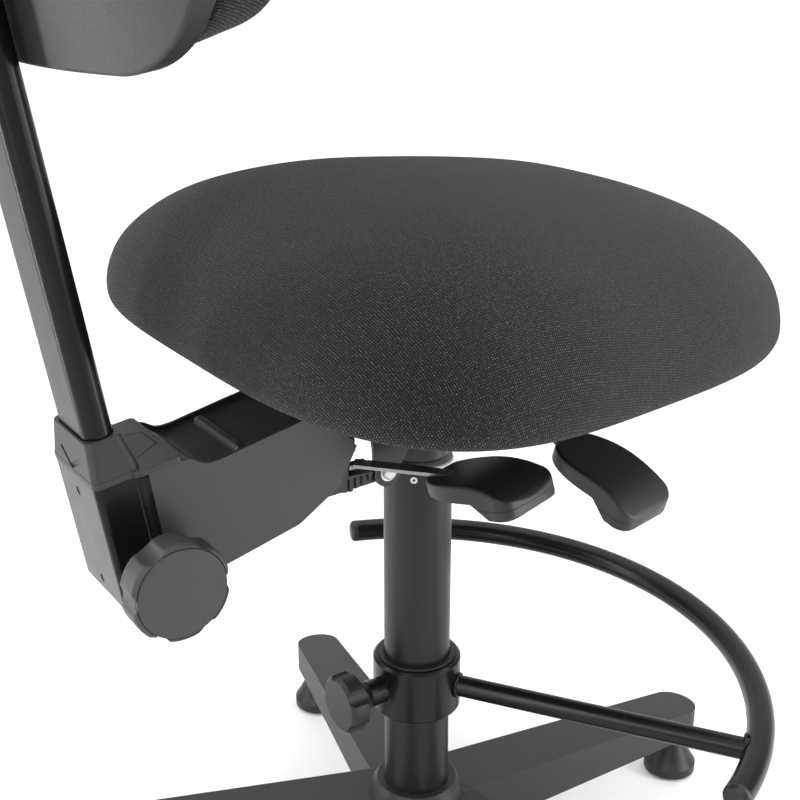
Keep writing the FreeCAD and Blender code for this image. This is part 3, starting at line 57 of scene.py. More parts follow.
# ---- driving values, in metres and degrees ----
# seat
SEAT_TILT = 3.7                 # the seat's nose is down by this much
SEAT_RINGS = 46
SEAT_SPOKES = 132
SEAT_SWELL = 3.0 * MM           # furthest that pressure moves its cover
WAIST_LIFT = 4 * MM             # widest plane of the dome, above the middle of the board
PULL_HEIGHT = 45 * MM           # the fabric is pulled uneven up to here
PULL_DEPTH = 0.9 * MM
FOAM_DEPTH = 0.6 * MM           # unevenness of the foam
HEM_DROP = 0.5 * MM             # the folded-under fabric lies this far below the board
HEM_WIDTH = 44.0 * MM
HEM_BANDS = [                   # distance inwards and share of the way down, along the fold
    (1.3 * MM, 0.45), (3.4 * MM, 0.80), (6.5 * MM, 0.97), (11 * MM, 1.02), (18 * MM, 1.04),
    (26 * MM, 1.04), (35 * MM, 1.04), (HEM_WIDTH, 1.04), (HEM_WIDTH + 0.6 * MM, 1.0)]
TUCK_START = 11 * MM            # the hem's tucks begin this far inwards and grow over TUCK_RUN
TUCK_RUN = 12 * MM
TUCK_DEPTH = 0.9 * MM
TUCK_WAVES = 33
STAPLE_INSET = 30.0 * MM
STAPLE_COUNT = 64
STAPLE_HALF = 5.2 * MM          # half its width
STAPLE_THICK = 0.55 * MM
# fabric
THREAD = 1.12 * MM              # distance between neighbouring threads
THREAD_SLANT = 0.45             # lean of a thread's oval
WARP_HEIGHT = 0.45              # of the weft's
# other finishes
PEEL_DEPTH = 0.05 * MM          # full depth of a powder coat's orange peel
GRIT_DEPTH = 0.09 * MM          # full depth of a moulding's texture
PLY = 2.8 * MM                  # two plies of the plywood
SEAM_ZERO = 10.0                # seam value, in millimetres, on a moulding's seam line
SEAM_EDGE = (0.16, 0.42)        # the line fades out between these distances, in millimetres
SEAM_GROOVE = 4.0               # depth of the line, in the texture's own steps
SEAM_HEIGHT = -16.5 * MM        # of the seam round a paddle's tip, in the paddle's own frame
SEAM_START = 50.0 * MM          # the seam shows only beyond this distance from the paddle's root
# backrest
POST_LEAN = 9.0                 # the backrest's post leans back
POST_ROOT = Vector((0.0, 233.8, 420.0)) * MM
PAD_HALF_WIDTH = 179.0 * MM
PAD_HALF_HEIGHT = 124.0 * MM
PAD_HALF_THICK = 24.7 * MM
PAD_HEIGHT = 400.0 * MM         # its middle, along the post
PAD_SQUARE = 4.6                # power of its rounded-rectangle outline
PAD_BEND = 462.8 * MM           # radius of its middle layer, round an upright axis in front of it
PAD_AXIS = -513.8 * MM          # where that axis is, along the post frame's depth
PAD_FRONT_POWER = 3.6           # roundness of its front edge; a higher power is squarer
PAD_BACK_POWER = 9.0
PAD_RINGS = 44
PAD_SPOKES = 120
PAD_SWELL = 7.0 * MM            # furthest that pressure moves its cover
# welds
SPOKE_WELD_RADIUS = 8.3 * MM
SPOKE_WELD_THICK = 1.5 * MM
ARM_WELD_FOOT = -48.0           # its lower end along the post's frame, in millimetres
ARM_WELD_LENGTH = 82.0
ARM_WELD_STEPS = 40
ARM_WELD_DEPTH = 8.5            # along the post frame's depth, in millimetres
# paddles: body, root in millimetres, then yaw, pitch and roll in degrees
PADDLES = {
    "lock_paddle": ("lock_lever", (-64.5, 27.0, 422.8), (12.8, 14.7, 4.0)),
    "height_paddle": ("height_lever", (-85.5, -67.0, 431.4), (12.2, -15.5, 0.0)),
}
MOULDING_VOXEL = 0.9 * MM       # grain of the soft-edged mouldings
# lights: place, aim, width, height and power
LIGHTS = {
    "key": ((-1.5, 1.9, 1.6), (0.0, 0.0, 0.5), 1.2, 1.2, 16.0),
    "fill": ((-1.5, -1.0, 0.55), (0.0, 0.0, 0.4), 0.9, 0.9, 11.0),
    "strip_right": ((-0.78, -0.80, 0.55), (0.0, 0.05, 0.5), 0.10, 1.1, 7.0),
    "strip_left": ((0.62, 0.95, 0.55), (0.0, 0.05, 0.45), 0.12, 1.1, 6.0),
    "strip_back": ((-0.62, 1.55, 0.9), (0.0, 0.2, 0.5), 0.12, 1.4, 9.0),
}
BACKDROP_SIDE = (0.83, -0.56, 0.0)  # the sky is bright in this direction
FLOOR_HALF = 12.0
# camera
CAMERA_PLACE = (-0.7005, 0.4879, 0.766)
CAMERA_AHEAD = (0.7764, -0.5235, -0.351)
CAMERA_LENS = 57.78             # in millimetres, as is its sensor
CAMERA_SENSOR = 36.0


# ---- small node-tree language ----
class NodeTree:
    """Short ways to add nodes to the tree of a material or a world."""

    def __init__(self, tree):
        self.tree = tree

    def add(self, kind, **settings):
        node = self.tree.nodes.new(kind)
        for key, value in settings.items():
            setattr(node, key, value)
        return node

    def feed(self, socket, value):
        if isinstance(value, bpy.types.NodeSocket):
            self.tree.links.new(value, socket)
        else:
            socket.default_value = value

    def maths(self, operation, first, second=0.0, third=None):
        node = self.add("ShaderNodeMath", operation=operation)
        self.feed(node.inputs[0], first)
        self.feed(node.inputs[1], second)
        if third is not None:
            self.feed(node.inputs[2], third)
        return node.outputs[0]

    def ramp(self, value, low, high, out_low=0.0, out_high=1.0):
        """Value from low to high, turned into out_low to out_high and kept between them."""
        node = self.add("ShaderNodeMapRange")
        self.feed(node.inputs["Value"], value)
        limits = {"From Min": low, "From Max": high, "To Min": out_low, "To Max": out_high}
        for key, number in limits.items():
            node.inputs[key].default_value = number
        return node.outputs[0]

    def dot(self, first, second):
        node = self.add("ShaderNodeVectorMath", operation="DOT_PRODUCT")
        self.feed(node.inputs[0], first)
        self.feed(node.inputs[1], second)
        return node.outputs["Value"]

    def split(self, vector):
        """The three parts of a vector."""
        node = self.add("ShaderNodeSeparateXYZ")
        self.feed(node.inputs[0], vector)
        return node.outputs["X"], node.outputs["Y"], node.outputs["Z"]


class Surface(NodeTree):
    """A material of one principled shader."""

    def __init__(self, name):
        self.material = bpy.data.materials.new(name)
        self.material.use_nodes = True
        super().__init__(self.material.node_tree)
        self.shader = self.tree.nodes["Principled BSDF"]
        self.where = self.add("ShaderNodeTexCoord").outputs["Object"]

    def grain(self, scale, detail=2.0, rough=0.5, stretch=None, where=None):
        """Noise from 0 to 1; scale is in cells per metre."""
        place = where or self.where
        if stretch:
            mapping = self.add("ShaderNodeMapping")
            self.feed(mapping.inputs["Vector"], place)
            mapping.inputs["Scale"].default_value = stretch
            place = mapping.outputs[0]
        node = self.add("ShaderNodeTexNoise")
        self.feed(node.inputs["Vector"], place)
        node.inputs["Scale"].default_value = scale
        node.inputs["Detail"].default_value = detail
        node.inputs["Roughness"].default_value = rough
        return node.outputs["Fac"]

    def cells(self, scale):
        """Distance to the middle of the nearest of many random cells."""
        node = self.add("ShaderNodeTexVoronoi")
        self.feed(node.inputs["Vector"], self.where)
        node.inputs["Scale"].default_value = scale
        return node.outputs["Distance"]

    def mixed(self, factor, first, second):
        """Colour between two colours."""
        node = self.add("ShaderNodeMix", data_type="RGBA")
        self.feed(node.inputs[0], factor)
        for socket, colour in ((node.inputs[6], first), (node.inputs[7], second)):
            linked = isinstance(colour, bpy.types.NodeSocket)
            self.feed(socket, colour if linked else (*colour, 1.0))
        return node.outputs[2]

    def rounded(self, radius):
        """Normal that turns smoothly over the edges, as a real edge does."""
        node = self.add("ShaderNodeBevel", samples=4)
        node.inputs["Radius"].default_value = radius
        return node.outputs[0]

    def bump(self, height, depth, strength=1.0, normal=None):
        """Normal of a relief; depth is in metres."""
        node = self.add("ShaderNodeBump")
        node.inputs["Distance"].default_value = depth
        node.inputs["Strength"].default_value = strength
        self.feed(node.inputs["Height"], height)
        if normal is not None:
            self.feed(node.inputs["Normal"], normal)
        return node.outputs[0]

    def edge_wear(self, rounded):
        """0 on flats, rising to 1 where an edge is rubbed."""
        flat = self.add("ShaderNodeNewGeometry").outputs["Normal"]
        bent = self.ramp(self.dot(rounded, flat), 0.97, 0.80)
        return self.maths("MULTIPLY", bent, self.ramp(self.grain(180.0, 4.0), 0.42, 0.62))

    def set(self, **values):
        """Principled sockets by name, with _ for a space."""
        for key, value in values.items():
            self.feed(self.shader.inputs[key.replace("_", " ")], value)


# ---- finishes ----
def coated_steel(name, colour, rough, peel, worn=0.05, edge=0.6 * MM, mirror=0.30):
    """Powder coat or paint: faint orange peel, cloudy gloss and rubbed edges."""
    bare_metal = (0.35, 0.34, 0.33)
    s = Surface(name)
    normal = s.rounded(edge)
    body = s.mixed(s.grain(14.0, 3.0), [c * 0.82 for c in colour], colour)
    s.set(Base_Color=s.mixed(s.maths("MULTIPLY", s.edge_wear(normal), worn), body, bare_metal))
    s.set(Roughness=s.ramp(s.grain(60.0, 2.0), 0.3, 0.7, rough - 0.02, rough + 0.03))
    s.set(Normal=s.bump(s.grain(1500.0, 2.0), PEEL_DEPTH, peel, normal))
    s.shader.inputs["Specular IOR Level"].default_value = mirror
    return s.material


def moulded_plastic(name, colour, rough, grit, pitch, edge=0.5 * MM):
    """Spark-eroded moulded plastic: a fine even texture, slightly polished edges and a seam line."""
    s = Surface(name)
    normal = s.rounded(edge)
    cells = s.maths("MULTIPLY", s.cells(pitch * 0.8), 0.7)
    height = s.maths("ADD", s.grain(pitch, 2.0, 0.6), cells)
    body = s.mixed(s.grain(9.0, 4.0, 0.6), colour, [c * 1.35 + 0.004 for c in colour])
    polish = s.maths("MULTIPLY", s.edge_wear(normal), 0.08)
    s.set(Base_Color=s.mixed(polish, body, [c * 3 + 0.02 for c in colour]))
    s.set(Roughness=s.ramp(height, 0.3, 1.1, rough - 0.06, rough + 0.08))
    seam = s.add("ShaderNodeAttribute", attribute_name="seam").outputs["Fac"]
    off_seam = s.maths("ABSOLUTE", s.maths("SUBTRACT", seam, SEAM_ZERO))
    groove = s.maths("MULTIPLY", s.ramp(off_seam, *SEAM_EDGE, 1.0, 0.0), SEAM_GROOVE)
    relief = s.maths("SUBTRACT", s.maths("MULTIPLY", height, grit), groove)
    s.set(Normal=s.bump(relief, GRIT_DEPTH, 1.0, normal))
    s.shader.inputs["Specular IOR Level"].default_value = 0.36
    return s.material


def plated_steel(name, colour, rough):
    """Zinc plate or ground steel with fine turning marks."""
    s = Surface(name)
    normal = s.rounded(0.3 * MM)
    marks = s.grain(900.0, 3.0, 0.6, stretch=(1.0, 1.0, 6.0))
    s.set(Base_Color=s.mixed(s.grain(55.0, 4.0), [c * 0.75 for c in colour], colour))
    s.set(Roughness=s.ramp(marks, 0.3, 0.7, rough - 0.06, rough + 0.1))
    s.set(Normal=s.bump(marks, 0.02 * MM, 0.12, normal))
    s.shader.inputs["Metallic"].default_value = 1.0
    return s.material


def rubber(name):
    """Dull black rubber, scuffed grey in places."""
    black, scuffed = (0.016, 0.016, 0.017), (0.06, 0.058, 0.055)
    s = Surface(name)
    scuffs = s.grain(320.0, 5.0, 0.65)
    s.set(Base_Color=s.mixed(s.ramp(scuffs, 0.45, 0.75), black, scuffed))
    s.set(Roughness=s.ramp(scuffs, 0.3, 0.7, 0.72, 0.9))
    s.set(Normal=s.bump(scuffs, 0.12 * MM, 0.5, s.rounded(0.5 * MM)))
    return s.material


def plywood(name):
    """Pale veneer with fine grain; its plies show as stripes on the edge."""
    pale, warm, glue = (0.42, 0.28, 0.15), (0.62, 0.46, 0.29), (0.24, 0.14, 0.07)
    s = Surface(name)
    figure = s.grain(28.0, 6.0, 0.6, stretch=(0.35, 5.0, 5.0))
    up = s.split(s.where)[2]
    wave = s.maths("SINE", s.maths("MULTIPLY", up, 2 * math.pi / PLY))
    seams = s.maths("MULTIPLY", s.ramp(wave, -0.3, 0.3), 0.35)
    s.set(Base_Color=s.mixed(seams, s.mixed(figure, pale, warm), glue))
    s.set(Roughness=s.ramp(figure, 0.3, 0.7, 0.55, 0.75))
    s.set(Normal=s.bump(figure, 0.15 * MM, 0.4))
    return s.material


def thread_places(s, cloth):
    """Cloth coordinates in threads, a little uneven and turned to lie across the bias."""
    drift = s.add("ShaderNodeTexNoise")
    s.feed(drift.inputs["Vector"], cloth)
    drift.inputs["Scale"].default_value = 90.0
    shift = s.add("ShaderNodeVectorMath", operation="MULTIPLY_ADD")
    s.feed(shift.inputs[0], drift.outputs["Color"])
    shift.inputs[1].default_value = (1.6 * THREAD,) * 3
    s.feed(shift.inputs[2], cloth)
    bias = s.add("ShaderNodeMapping")
    s.feed(bias.inputs["Vector"], shift.outputs[0])
    bias.inputs["Rotation"].default_value = (0.0, 0.0, -math.pi / 4)
    return [s.maths("DIVIDE", part, THREAD) for part in s.split(bias.outputs[0])[:2]]


def weave_height(s, across, along):
    """Plain weave: warp and weft take turns on top, each crossing one raised oval of thread."""
    steps = s.maths("ADD", s.maths("FLOOR", across), s.maths("FLOOR", along))
    over = s.maths("PINGPONG", steps, 1.0)
    right, up = (s.maths("MULTIPLY_ADD", s.maths("FRACT", part), 2.0, -1.0) for part in (across, along))
    slanted = s.maths("MULTIPLY_ADD", right, THREAD_SLANT, up)
    right, slanted, up = (s.maths("MULTIPLY", part, part) for part in (right, slanted, up))

    def oval(tight, loose):
        flank = s.maths("SUBTRACT", 1.0, s.maths("MULTIPLY", loose, 0.45))
        return s.maths("MULTIPLY", s.maths("SUBTRACT", 1.0, tight), flank)

    pick = s.add("ShaderNodeMix", data_type="FLOAT")
    s.feed(pick.inputs[0], over)
    s.feed(pick.inputs[2], s.maths("MULTIPLY", oval(right, up), WARP_HEIGHT))
    s.feed(pick.inputs[3], oval(slanted, right))
    return pick.outputs[0]


def woven_fabric(name, colour, crown_highlight_colour):
    """Fuzzy plain weave, placed by the mesh's own cloth coordinates, with painted shade between the threads
    and painted highlights on their crowns.
    """
    s = Surface(name)
    cloth = s.add("ShaderNodeAttribute", attribute_name="cloth").outputs["Vector"]
    height = weave_height(s, *thread_places(s, cloth))
    # random flecks where the painted highlight shows on the thread crowns
    highlight_fleck = s.ramp(s.grain(520.0, 2.0, 0.6, where=cloth), 0.45, 0.72)
    cloud = s.maths("MULTIPLY", s.grain(22.0, 3.0, where=cloth), 0.25)
    # painted shade: the low places between the threads are darkened almost to black
    body = s.mixed(s.ramp(height, 0.10, 0.80), [c * 0.06 for c in colour], colour)
    # painted highlight: the raised crowns of the threads, in random flecks, are lightened to the crown
    # highlight colour
    body = s.mixed(s.maths("MULTIPLY", s.ramp(height, 0.6, 1.0), highlight_fleck), body, crown_highlight_colour)
    s.set(Base_Color=s.mixed(cloud, body, [c * 0.5 for c in colour]))
    s.shader.inputs["Roughness"].default_value = 0.92
    s.shader.inputs["Specular IOR Level"].default_value = 0.15
    s.shader.inputs["Sheen Weight"].default_value = 0.11
    s.shader.inputs["Sheen Roughness"].default_value = 0.45
    fuzz = s.maths("MULTIPLY_ADD", s.grain(5200.0, 2.0), 0.25, height)
    s.set(Normal=s.bump(fuzz, 0.55 * MM, 0.9))
    return s.material


def dust_cover(name):
    """Thin black non-woven cloth under the seat."""
    black, fluff = (0.012, 0.012, 0.013), (0.045, 0.045, 0.047)
    s = Surface(name)
    fibres = s.grain(1400.0, 4.0, 0.7)
    dots = s.ramp(s.cells(420.0), 0.05, 0.35)
    s.set(Base_Color=s.mixed(fibres, black, fluff))
    s.shader.inputs["Roughness"].default_value = 0.9
    s.set(Normal=s.bump(s.maths("ADD", fibres, dots), 0.12 * MM, 0.6))
    return s.material


# Colour and roughness of each slot, with the strength of orange peel, wear and reflection for paints,
# and the strength and fineness of the texture for plastics; edge is the radius that edges show.
COATS = {
    "post_paint": dict(colour=(0.005, 0.005, 0.0052), rough=0.24, peel=0.16, mirror=0.15),
    "ring_paint": dict(colour=(0.006, 0.006, 0.0063), rough=0.27, peel=0.05, mirror=0.22),
    "column_paint": dict(colour=(0.010, 0.010, 0.0103), rough=0.38, peel=0.2, mirror=0.26),
    "cylinder_paint": dict(colour=(0.006, 0.006, 0.0065), rough=0.26, peel=0.03),
    "arm_paint": dict(colour=(0.022, 0.0225, 0.024), rough=0.34, peel=0.06, worn=0.08, mirror=0.42),
    "mechanism_steel": dict(colour=(0.014, 0.014, 0.015), rough=0.34, peel=0.15, worn=0.16),
}
PLASTICS = {
    "base_plastic": dict(colour=(0.011, 0.011, 0.0115), rough=0.44, grit=0.45, pitch=1700.0, edge=1.2 * MM),
    "glide_plastic": dict(colour=(0.010, 0.010, 0.0105), rough=0.42, grit=0.3, pitch=2200.0),
    "grip_plastic": dict(colour=(0.009, 0.009, 0.0095), rough=0.42, grit=0.3, pitch=2600.0, edge=1.0 * MM),
    "knob_plastic": dict(colour=(0.026, 0.026, 0.027), rough=0.44, grit=0.6, pitch=1500.0, edge=0.8 * MM),
    "collar_plastic": dict(colour=(0.018, 0.018, 0.019), rough=0.46, grit=0.6, pitch=1500.0),
    "trim_plastic": dict(colour=(0.009, 0.009, 0.0095), rough=0.42, grit=0.3, pitch=2200.0),
    "guide_plastic": dict(colour=(0.50, 0.50, 0.49), rough=0.38, grit=0.15, pitch=1800.0),
    "shell_plastic": dict(colour=(0.013, 0.013, 0.0135), rough=0.46, grit=0.8, pitch=1100.0, edge=1.0 * MM),
}
PLATINGS = {
    "zinc_steel": dict(colour=(0.45, 0.45, 0.44), rough=0.34),
    "bright_steel": dict(colour=(0.24, 0.24, 0.24), rough=0.30),
}


def finishes():
    """One material for each of the record's slots."""
    looks = {
        # the fabric's second colour is a painted highlight on the thread crowns
        "seat_fabric": woven_fabric("seat_fabric", (0.020, 0.020, 0.0225), (0.21, 0.21, 0.225)),
        "pad_rubber": rubber("pad_rubber"),
        "plywood": plywood("plywood"),
    }
    for make, family in ((coated_steel, COATS), (moulded_plastic, PLASTICS), (plated_steel, PLATINGS)):
        looks.update((name, make(name, **values)) for name, values in family.items())
    return looks


def dress_frame(looks):
    """Every CAD node takes the finish of its slot."""
    slot_of = {part["node"]: part["material_slot"] for part in frame["record"]["subparts"]}
    for name, node in nodes.items():
        node.data.materials.clear()
        node.data.materials.append(looks[slot_of[name]])


# ---- meshes ----
def mesh_object(name, points, faces, material):
    """Smooth-shaded mesh, linked into the scene."""
    mesh = bpy.data.meshes.new(name)
    mesh.from_pydata([tuple(p) for p in points], [], faces)
    mesh.update()
    mesh.materials.append(material)
    shade_smooth(mesh)
    piece = bpy.data.objects.new(name, mesh)
    bpy.context.scene.collection.objects.link(piece)
    return piece


def shade_smooth(mesh):
    mesh.polygons.foreach_set("use_smooth", [True] * len(mesh.polygons))


def surface_tree(node):
    """Search tree of a CAD node's surface at rest."""
    mesh = node.data
    corners = [v.co.copy() for v in mesh.vertices]
    return BVHTree.FromPolygons(corners, [tuple(p.vertices) for p in mesh.polygons])


def store_cloth(piece, mapping):
    """Cloth coordinates, in metres along the threads, for each vertex."""
    values = np.array([mapping(v.co) for v in piece.data.vertices], np.float32)
    layer = piece.data.attributes.new("cloth", "FLOAT_VECTOR", "POINT")
    layer.data.foreach_set("vector", values.ravel())


def apply_modifier(piece, name):
    bpy.ops.object.select_all(action="DESELECT")
    piece.select_set(True)
    bpy.context.view_layer.objects.active = piece
    bpy.ops.object.modifier_apply(modifier=name)


def subdivide(piece, levels):
    modifier = piece.modifiers.new("Subdivision", "SUBSURF")
    modifier.levels = levels
    modifier.render_levels = levels
    apply_modifier(piece, "Subdivision")


def smooth(piece, times):
    modifier = piece.modifiers.new("Smooth", "SMOOTH")
    modifier.factor = 0.5
    modifier.iterations = times
    apply_modifier(piece, "Smooth")


def vertex_places(piece):
    places = np.empty(len(piece.data.vertices) * 3)
    piece.data.vertices.foreach_get("co", places)
    return places.reshape(-1, 3)


def hold_from(piece, first):
    """Vertex group of the points from this one on, which cloth leaves where they are."""
    group = piece.vertex_groups.new(name="held")
    group.add(list(range(first, len(piece.data.vertices))), 1.0, "REPLACE")


def inflate(piece, pressure, limit, frames=20):
    """Cloth under pressure; no point ends further than limit from where it began."""
    start = vertex_places(piece)
    cloth = piece.modifiers.new("Cloth", "CLOTH")
    settings = cloth.settings
    settings.quality = 6
    settings.mass = 0.3
    settings.tension_stiffness = 18.0
    settings.compression_stiffness = 18.0
    settings.shear_stiffness = 6.0
    settings.bending_stiffness = 0.6
    settings.use_pressure = True
    settings.uniform_pressure_force = pressure
    settings.effector_weights.gravity = 0.0
    settings.vertex_group_mass = "held"
    cloth.point_cache.frame_start = 1
    cloth.point_cache.frame_end = frames
    scene = bpy.context.scene
    for number in range(1, frames + 1):
        scene.frame_set(number)
    apply_modifier(piece, "Cloth")
    scene.frame_set(1)
    step = vertex_places(piece) - start
    length = np.linalg.norm(step, axis=1, keepdims=True)
    step *= np.minimum(1.0, limit / np.maximum(length, 1e-9))
    piece.data.vertices.foreach_set("co", (start + step).ravel())
    piece.data.update()


# ---- seat ----
def seat_cover(looks):
    """Fabric over the domed foam, folded under the board, with the dust cover closing it."""
    low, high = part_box("seat_cushion")
    board_low, board_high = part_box("seat_board")
    turn = Matrix.Rotation(math.radians(SEAT_TILT), 3, "X")
    flat = turn.inverted()
    centre = Vector((0.0, (low.y + high.y) / 2, (board_low.z + board_high.z) / 2 + WAIST_LIFT))
    reach = Vector(((high.x - low.x) / 2, (high.y - low.y) / 2, high.z - centre.z))
    points = dome_points(centre, turn, reach)
    waist = [flat @ (p - centre) for p in points[-SEAT_SPOKES:]]
    span = HEM_DROP - (flat @ (board_floor() - centre)).z
    points.extend(hem_points(centre, turn, waist, span))
    points.append(centre + turn @ Vector((0, 0, -span)))
    faces = fan_and_rings(SEAT_RINGS + len(HEM_BANDS), SEAT_SPOKES, len(points) - 1)
    cover = mesh_object("seat_cover", points, faces, looks["seat_fabric"])
    cover.data.materials.append(looks["dust_cover"])
    for face in list(cover.data.polygons)[-SEAT_SPOKES:]:
        face.material_index = 1
    hold_from(cover, 1 + (SEAT_RINGS - 1) * SEAT_SPOKES)
    inflate(cover, 3.0, SEAT_SWELL)
    soften_seat(cover, centre, turn)
    subdivide(cover, 1)
    store_cloth(cover, lambda place: dome_unroll(flat @ (place - centre), reach.z))
    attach(cover, "seat")
    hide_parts("seat_cushion")
    staples(looks, centre, turn, waist, -span * 1.04)


def dome_points(centre, turn, reach):
    """Top of the dome and rings of points down to its waist, on the foam's outside."""
    tree = surface_tree(nodes["seat_cushion"])

    def skin(aim):
        out = (turn @ aim).normalized()
        return tree.ray_cast(centre + out, -out)[0]

    points = [skin(Vector((0, 0, 1)))]
    for ring in range(1, SEAT_RINGS + 1):
        rise = math.pi / 2 * (1 - ring / SEAT_RINGS)
        for spoke in range(SEAT_SPOKES):
            angle = 2 * math.pi * spoke / SEAT_SPOKES
            x = reach.x * math.cos(rise) * math.cos(angle)
            y = reach.y * math.cos(rise) * math.sin(angle)
            points.append(skin(Vector((x, y, reach.z * math.sin(rise)))))
    return points


def hem_points(centre, turn, waist, span):
    """Rings of points from the waist round the board's edge and in under it."""
    points = []
    for inset, depth in HEM_BANDS:
        for number, place in enumerate(waist):
            out = Vector((place.x, place.y, 0))
            inward = out * (1 - inset / out.length)
            height = place.z * (1 - depth) - span * depth + pleat(number, inset)
            points.append(centre + turn @ Vector((inward.x, inward.y, height)))
    return points


def dome_unroll(place, dome_height):
    """Length over the dome from its top, in the direction seen from above."""
    plan = math.hypot(place.x, place.y)
    if plan < 1e-6:
        return 0.0, 0.0, 0.0
    run = plan + (dome_height - place.z) ** 2 / (2 * dome_height)
    return place.x / plan * run, place.y / plan * run, place.z


def board_floor():
    """Middle of the seat board's lower face."""
    mesh = nodes["seat_board"].data
    face = min(mesh.polygons, key=lambda f: f.normal.z if f.area > 1e-5 else 1.0)
    return face.center.copy()


def pleat(number, inset):
    """Small tucks of the folded-under fabric, only ever away from the board."""
    if inset <= TUCK_START:
        return 0.0
    wave = math.sin(number * 2 * math.pi * TUCK_WAVES / SEAT_SPOKES) * math.sin(number * 0.37)
    return -abs(wave) * TUCK_DEPTH * min(1.0, (inset - TUCK_START) / TUCK_RUN)


def fan_and_rings(rings, spokes, last):
    """Faces of a closed form: a fan at the top, rings of quads and a fan at the bottom."""
    faces = []
    for spoke in range(spokes):
        faces.append((0, 1 + spoke, 1 + (spoke + 1) % spokes))
    for ring in range(rings - 1):
        start = 1 + ring * spokes
        for spoke in range(spokes):
            here, after = start + spoke, start + (spoke + 1) % spokes
            faces.append((here, here + spokes, after + spokes, after))
    start = 1 + (rings - 1) * spokes
    for spoke in range(spokes):
        faces.append((start + spoke, last, start + (spoke + 1) % spokes))
    return faces


def soften_seat(cover, centre, turn):
    """Slight unevenness of foam and the pull of the fabric towards the lower edge."""
    flat = turn.inverted()
    for vertex in cover.data.vertices:
        local = flat @ (vertex.co - centre)
        if local.z < -2 * MM:
            continue
        low = max(0.0, 1 - local.z / PULL_HEIGHT)
        angle = math.atan2(local.y, local.x)
        pull = noise.noise(Vector((math.cos(angle) * 9, math.sin(angle) * 9, local.z * 9)))
        foam = noise.noise(local * 14.0)
        out = Vector((local.x, local.y, local.z * 2)).normalized()
        vertex.co += turn @ (out * (pull * low * PULL_DEPTH + foam * FOAM_DEPTH))


def staples(looks, centre, turn, waist, height):
    """Wire staples through the fabric's folded edge."""
    points, faces = [], []
    for number in range(STAPLE_COUNT):
        place = waist[round(number * SEAT_SPOKES / STAPLE_COUNT) % SEAT_SPOKES]
        out = Vector((place.x, place.y, 0)).normalized()
        middle = Vector((place.x, place.y, 0)) - out * STAPLE_INSET
        side = Vector((-out.y, out.x, 0)) @ Matrix.Rotation(random.uniform(-0.25, 0.25), 3, "Z")
        middle += Vector((0, 0, height - 1.0 * MM))
        add_staple(points, faces, lambda p: centre + turn @ (middle + p), side)
    bars = mesh_object("seat_staples", points, faces, looks["zinc_steel"])
    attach(bars, "seat")


def add_staple(points, faces, place, side):
    """A flattened wire along side, whose two ends bend up into the board."""
    half, thick = STAPLE_HALF, STAPLE_THICK
    right = [(half * 0.86, 0), (half, 0.4 * thick), (half, 2.2 * thick)]
    path = [(-along, rise) for along, rise in reversed(right)] + right
    up = Vector((0, 0, 1))
    across = up.cross(side).normalized()
    sides = 6
    first = len(points)
    last = first + (len(path) - 1) * sides
    for along, rise in path:
        for k in range(sides):
            angle = 2 * math.pi * k / sides
            rim = across * math.cos(angle) * thick * 0.6 + up * math.sin(angle) * thick * 0.4
            points.append(place(side * along + up * rise + rim))
    for start in range(first, last, sides):
        for k in range(sides):
            a, b = start + k, start + (k + 1) % sides
            faces.append((a, b, b + sides, a + sides))
    faces.append(tuple(first + k for k in reversed(range(sides))))
    faces.append(tuple(last + k for k in range(sides)))


# ---- backrest ----
def lean_point(x, depth, height):
    """From the post's own frame to the room."""
    lean = Matrix.Rotation(math.radians(-POST_LEAN), 3, "X")
    return POST_ROOT + lean @ Vector((x, depth, height))


def lean_local(place):
    """From the room to the post's own frame."""
    return Matrix.Rotation(math.radians(POST_LEAN), 3, "X") @ (place - POST_ROOT)


def pad_point(across, height, layer):
    """Point of the pad; layer runs from 1 on its front to -1 on its back."""
    reach = PAD_BEND - layer * PAD_HALF_THICK
    depth = PAD_AXIS + math.sqrt(reach * reach - across * across)
    return lean_point(across, depth, PAD_HEIGHT + height)


def pad_unroll(place):
    """Length over the pad from the middle of its front, in the direction seen from the front."""
    local = lean_local(place)
    across, height = local.x, local.z - PAD_HEIGHT
    plan = max(math.hypot(across, height), 1e-6)
    behind = math.hypot(local.y - PAD_AXIS, across) - (PAD_BEND - PAD_HALF_THICK)
    run = plan + max(0.0, behind)
    return across / plan * run, height / plan * run, 0.0


def pad_outline(angle):
    """Rounded rectangle, in metres across and up."""
    across, up = math.cos(angle), math.sin(angle)
    wide = abs(across / PAD_HALF_WIDTH) ** PAD_SQUARE
    tall = abs(up / PAD_HALF_HEIGHT) ** PAD_SQUARE
    reach = (wide + tall) ** (-1 / PAD_SQUARE)
    return reach * across, reach * up


def back_cover(looks):
    """Padded fabric front of the backrest, round-edged, and full where it meets the board."""
    outline = [pad_outline(2 * math.pi * spoke / PAD_SPOKES) for spoke in range(PAD_SPOKES)]
    points = [pad_point(0.0, 0.0, 1.0)]
    for ring in range(1, PAD_RINGS):
        turn = math.pi * ring / PAD_RINGS
        share, front = math.sin(turn), math.cos(turn) > 0
        power = PAD_FRONT_POWER if front else PAD_BACK_POWER
        layer = (1 - share ** power) ** (1 / power) * (1 if front else -1)
        points.extend(pad_point(x * share, z * share, layer) for x, z in outline)
    points.append(pad_point(0.0, 0.0, -1.0))
    faces = fan_and_rings(PAD_RINGS - 1, PAD_SPOKES, len(points) - 1)
    cover = mesh_object("back_cover", points, faces, looks["seat_fabric"])
    hold_from(cover, 1 + (PAD_RINGS // 2) * PAD_SPOKES)
    inflate(cover, 4.0, PAD_SWELL)
    smooth(cover, 2)
    subdivide(cover, 1)
    store_cloth(cover, pad_unroll)
    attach(cover, "post")
    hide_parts("back_cushion")


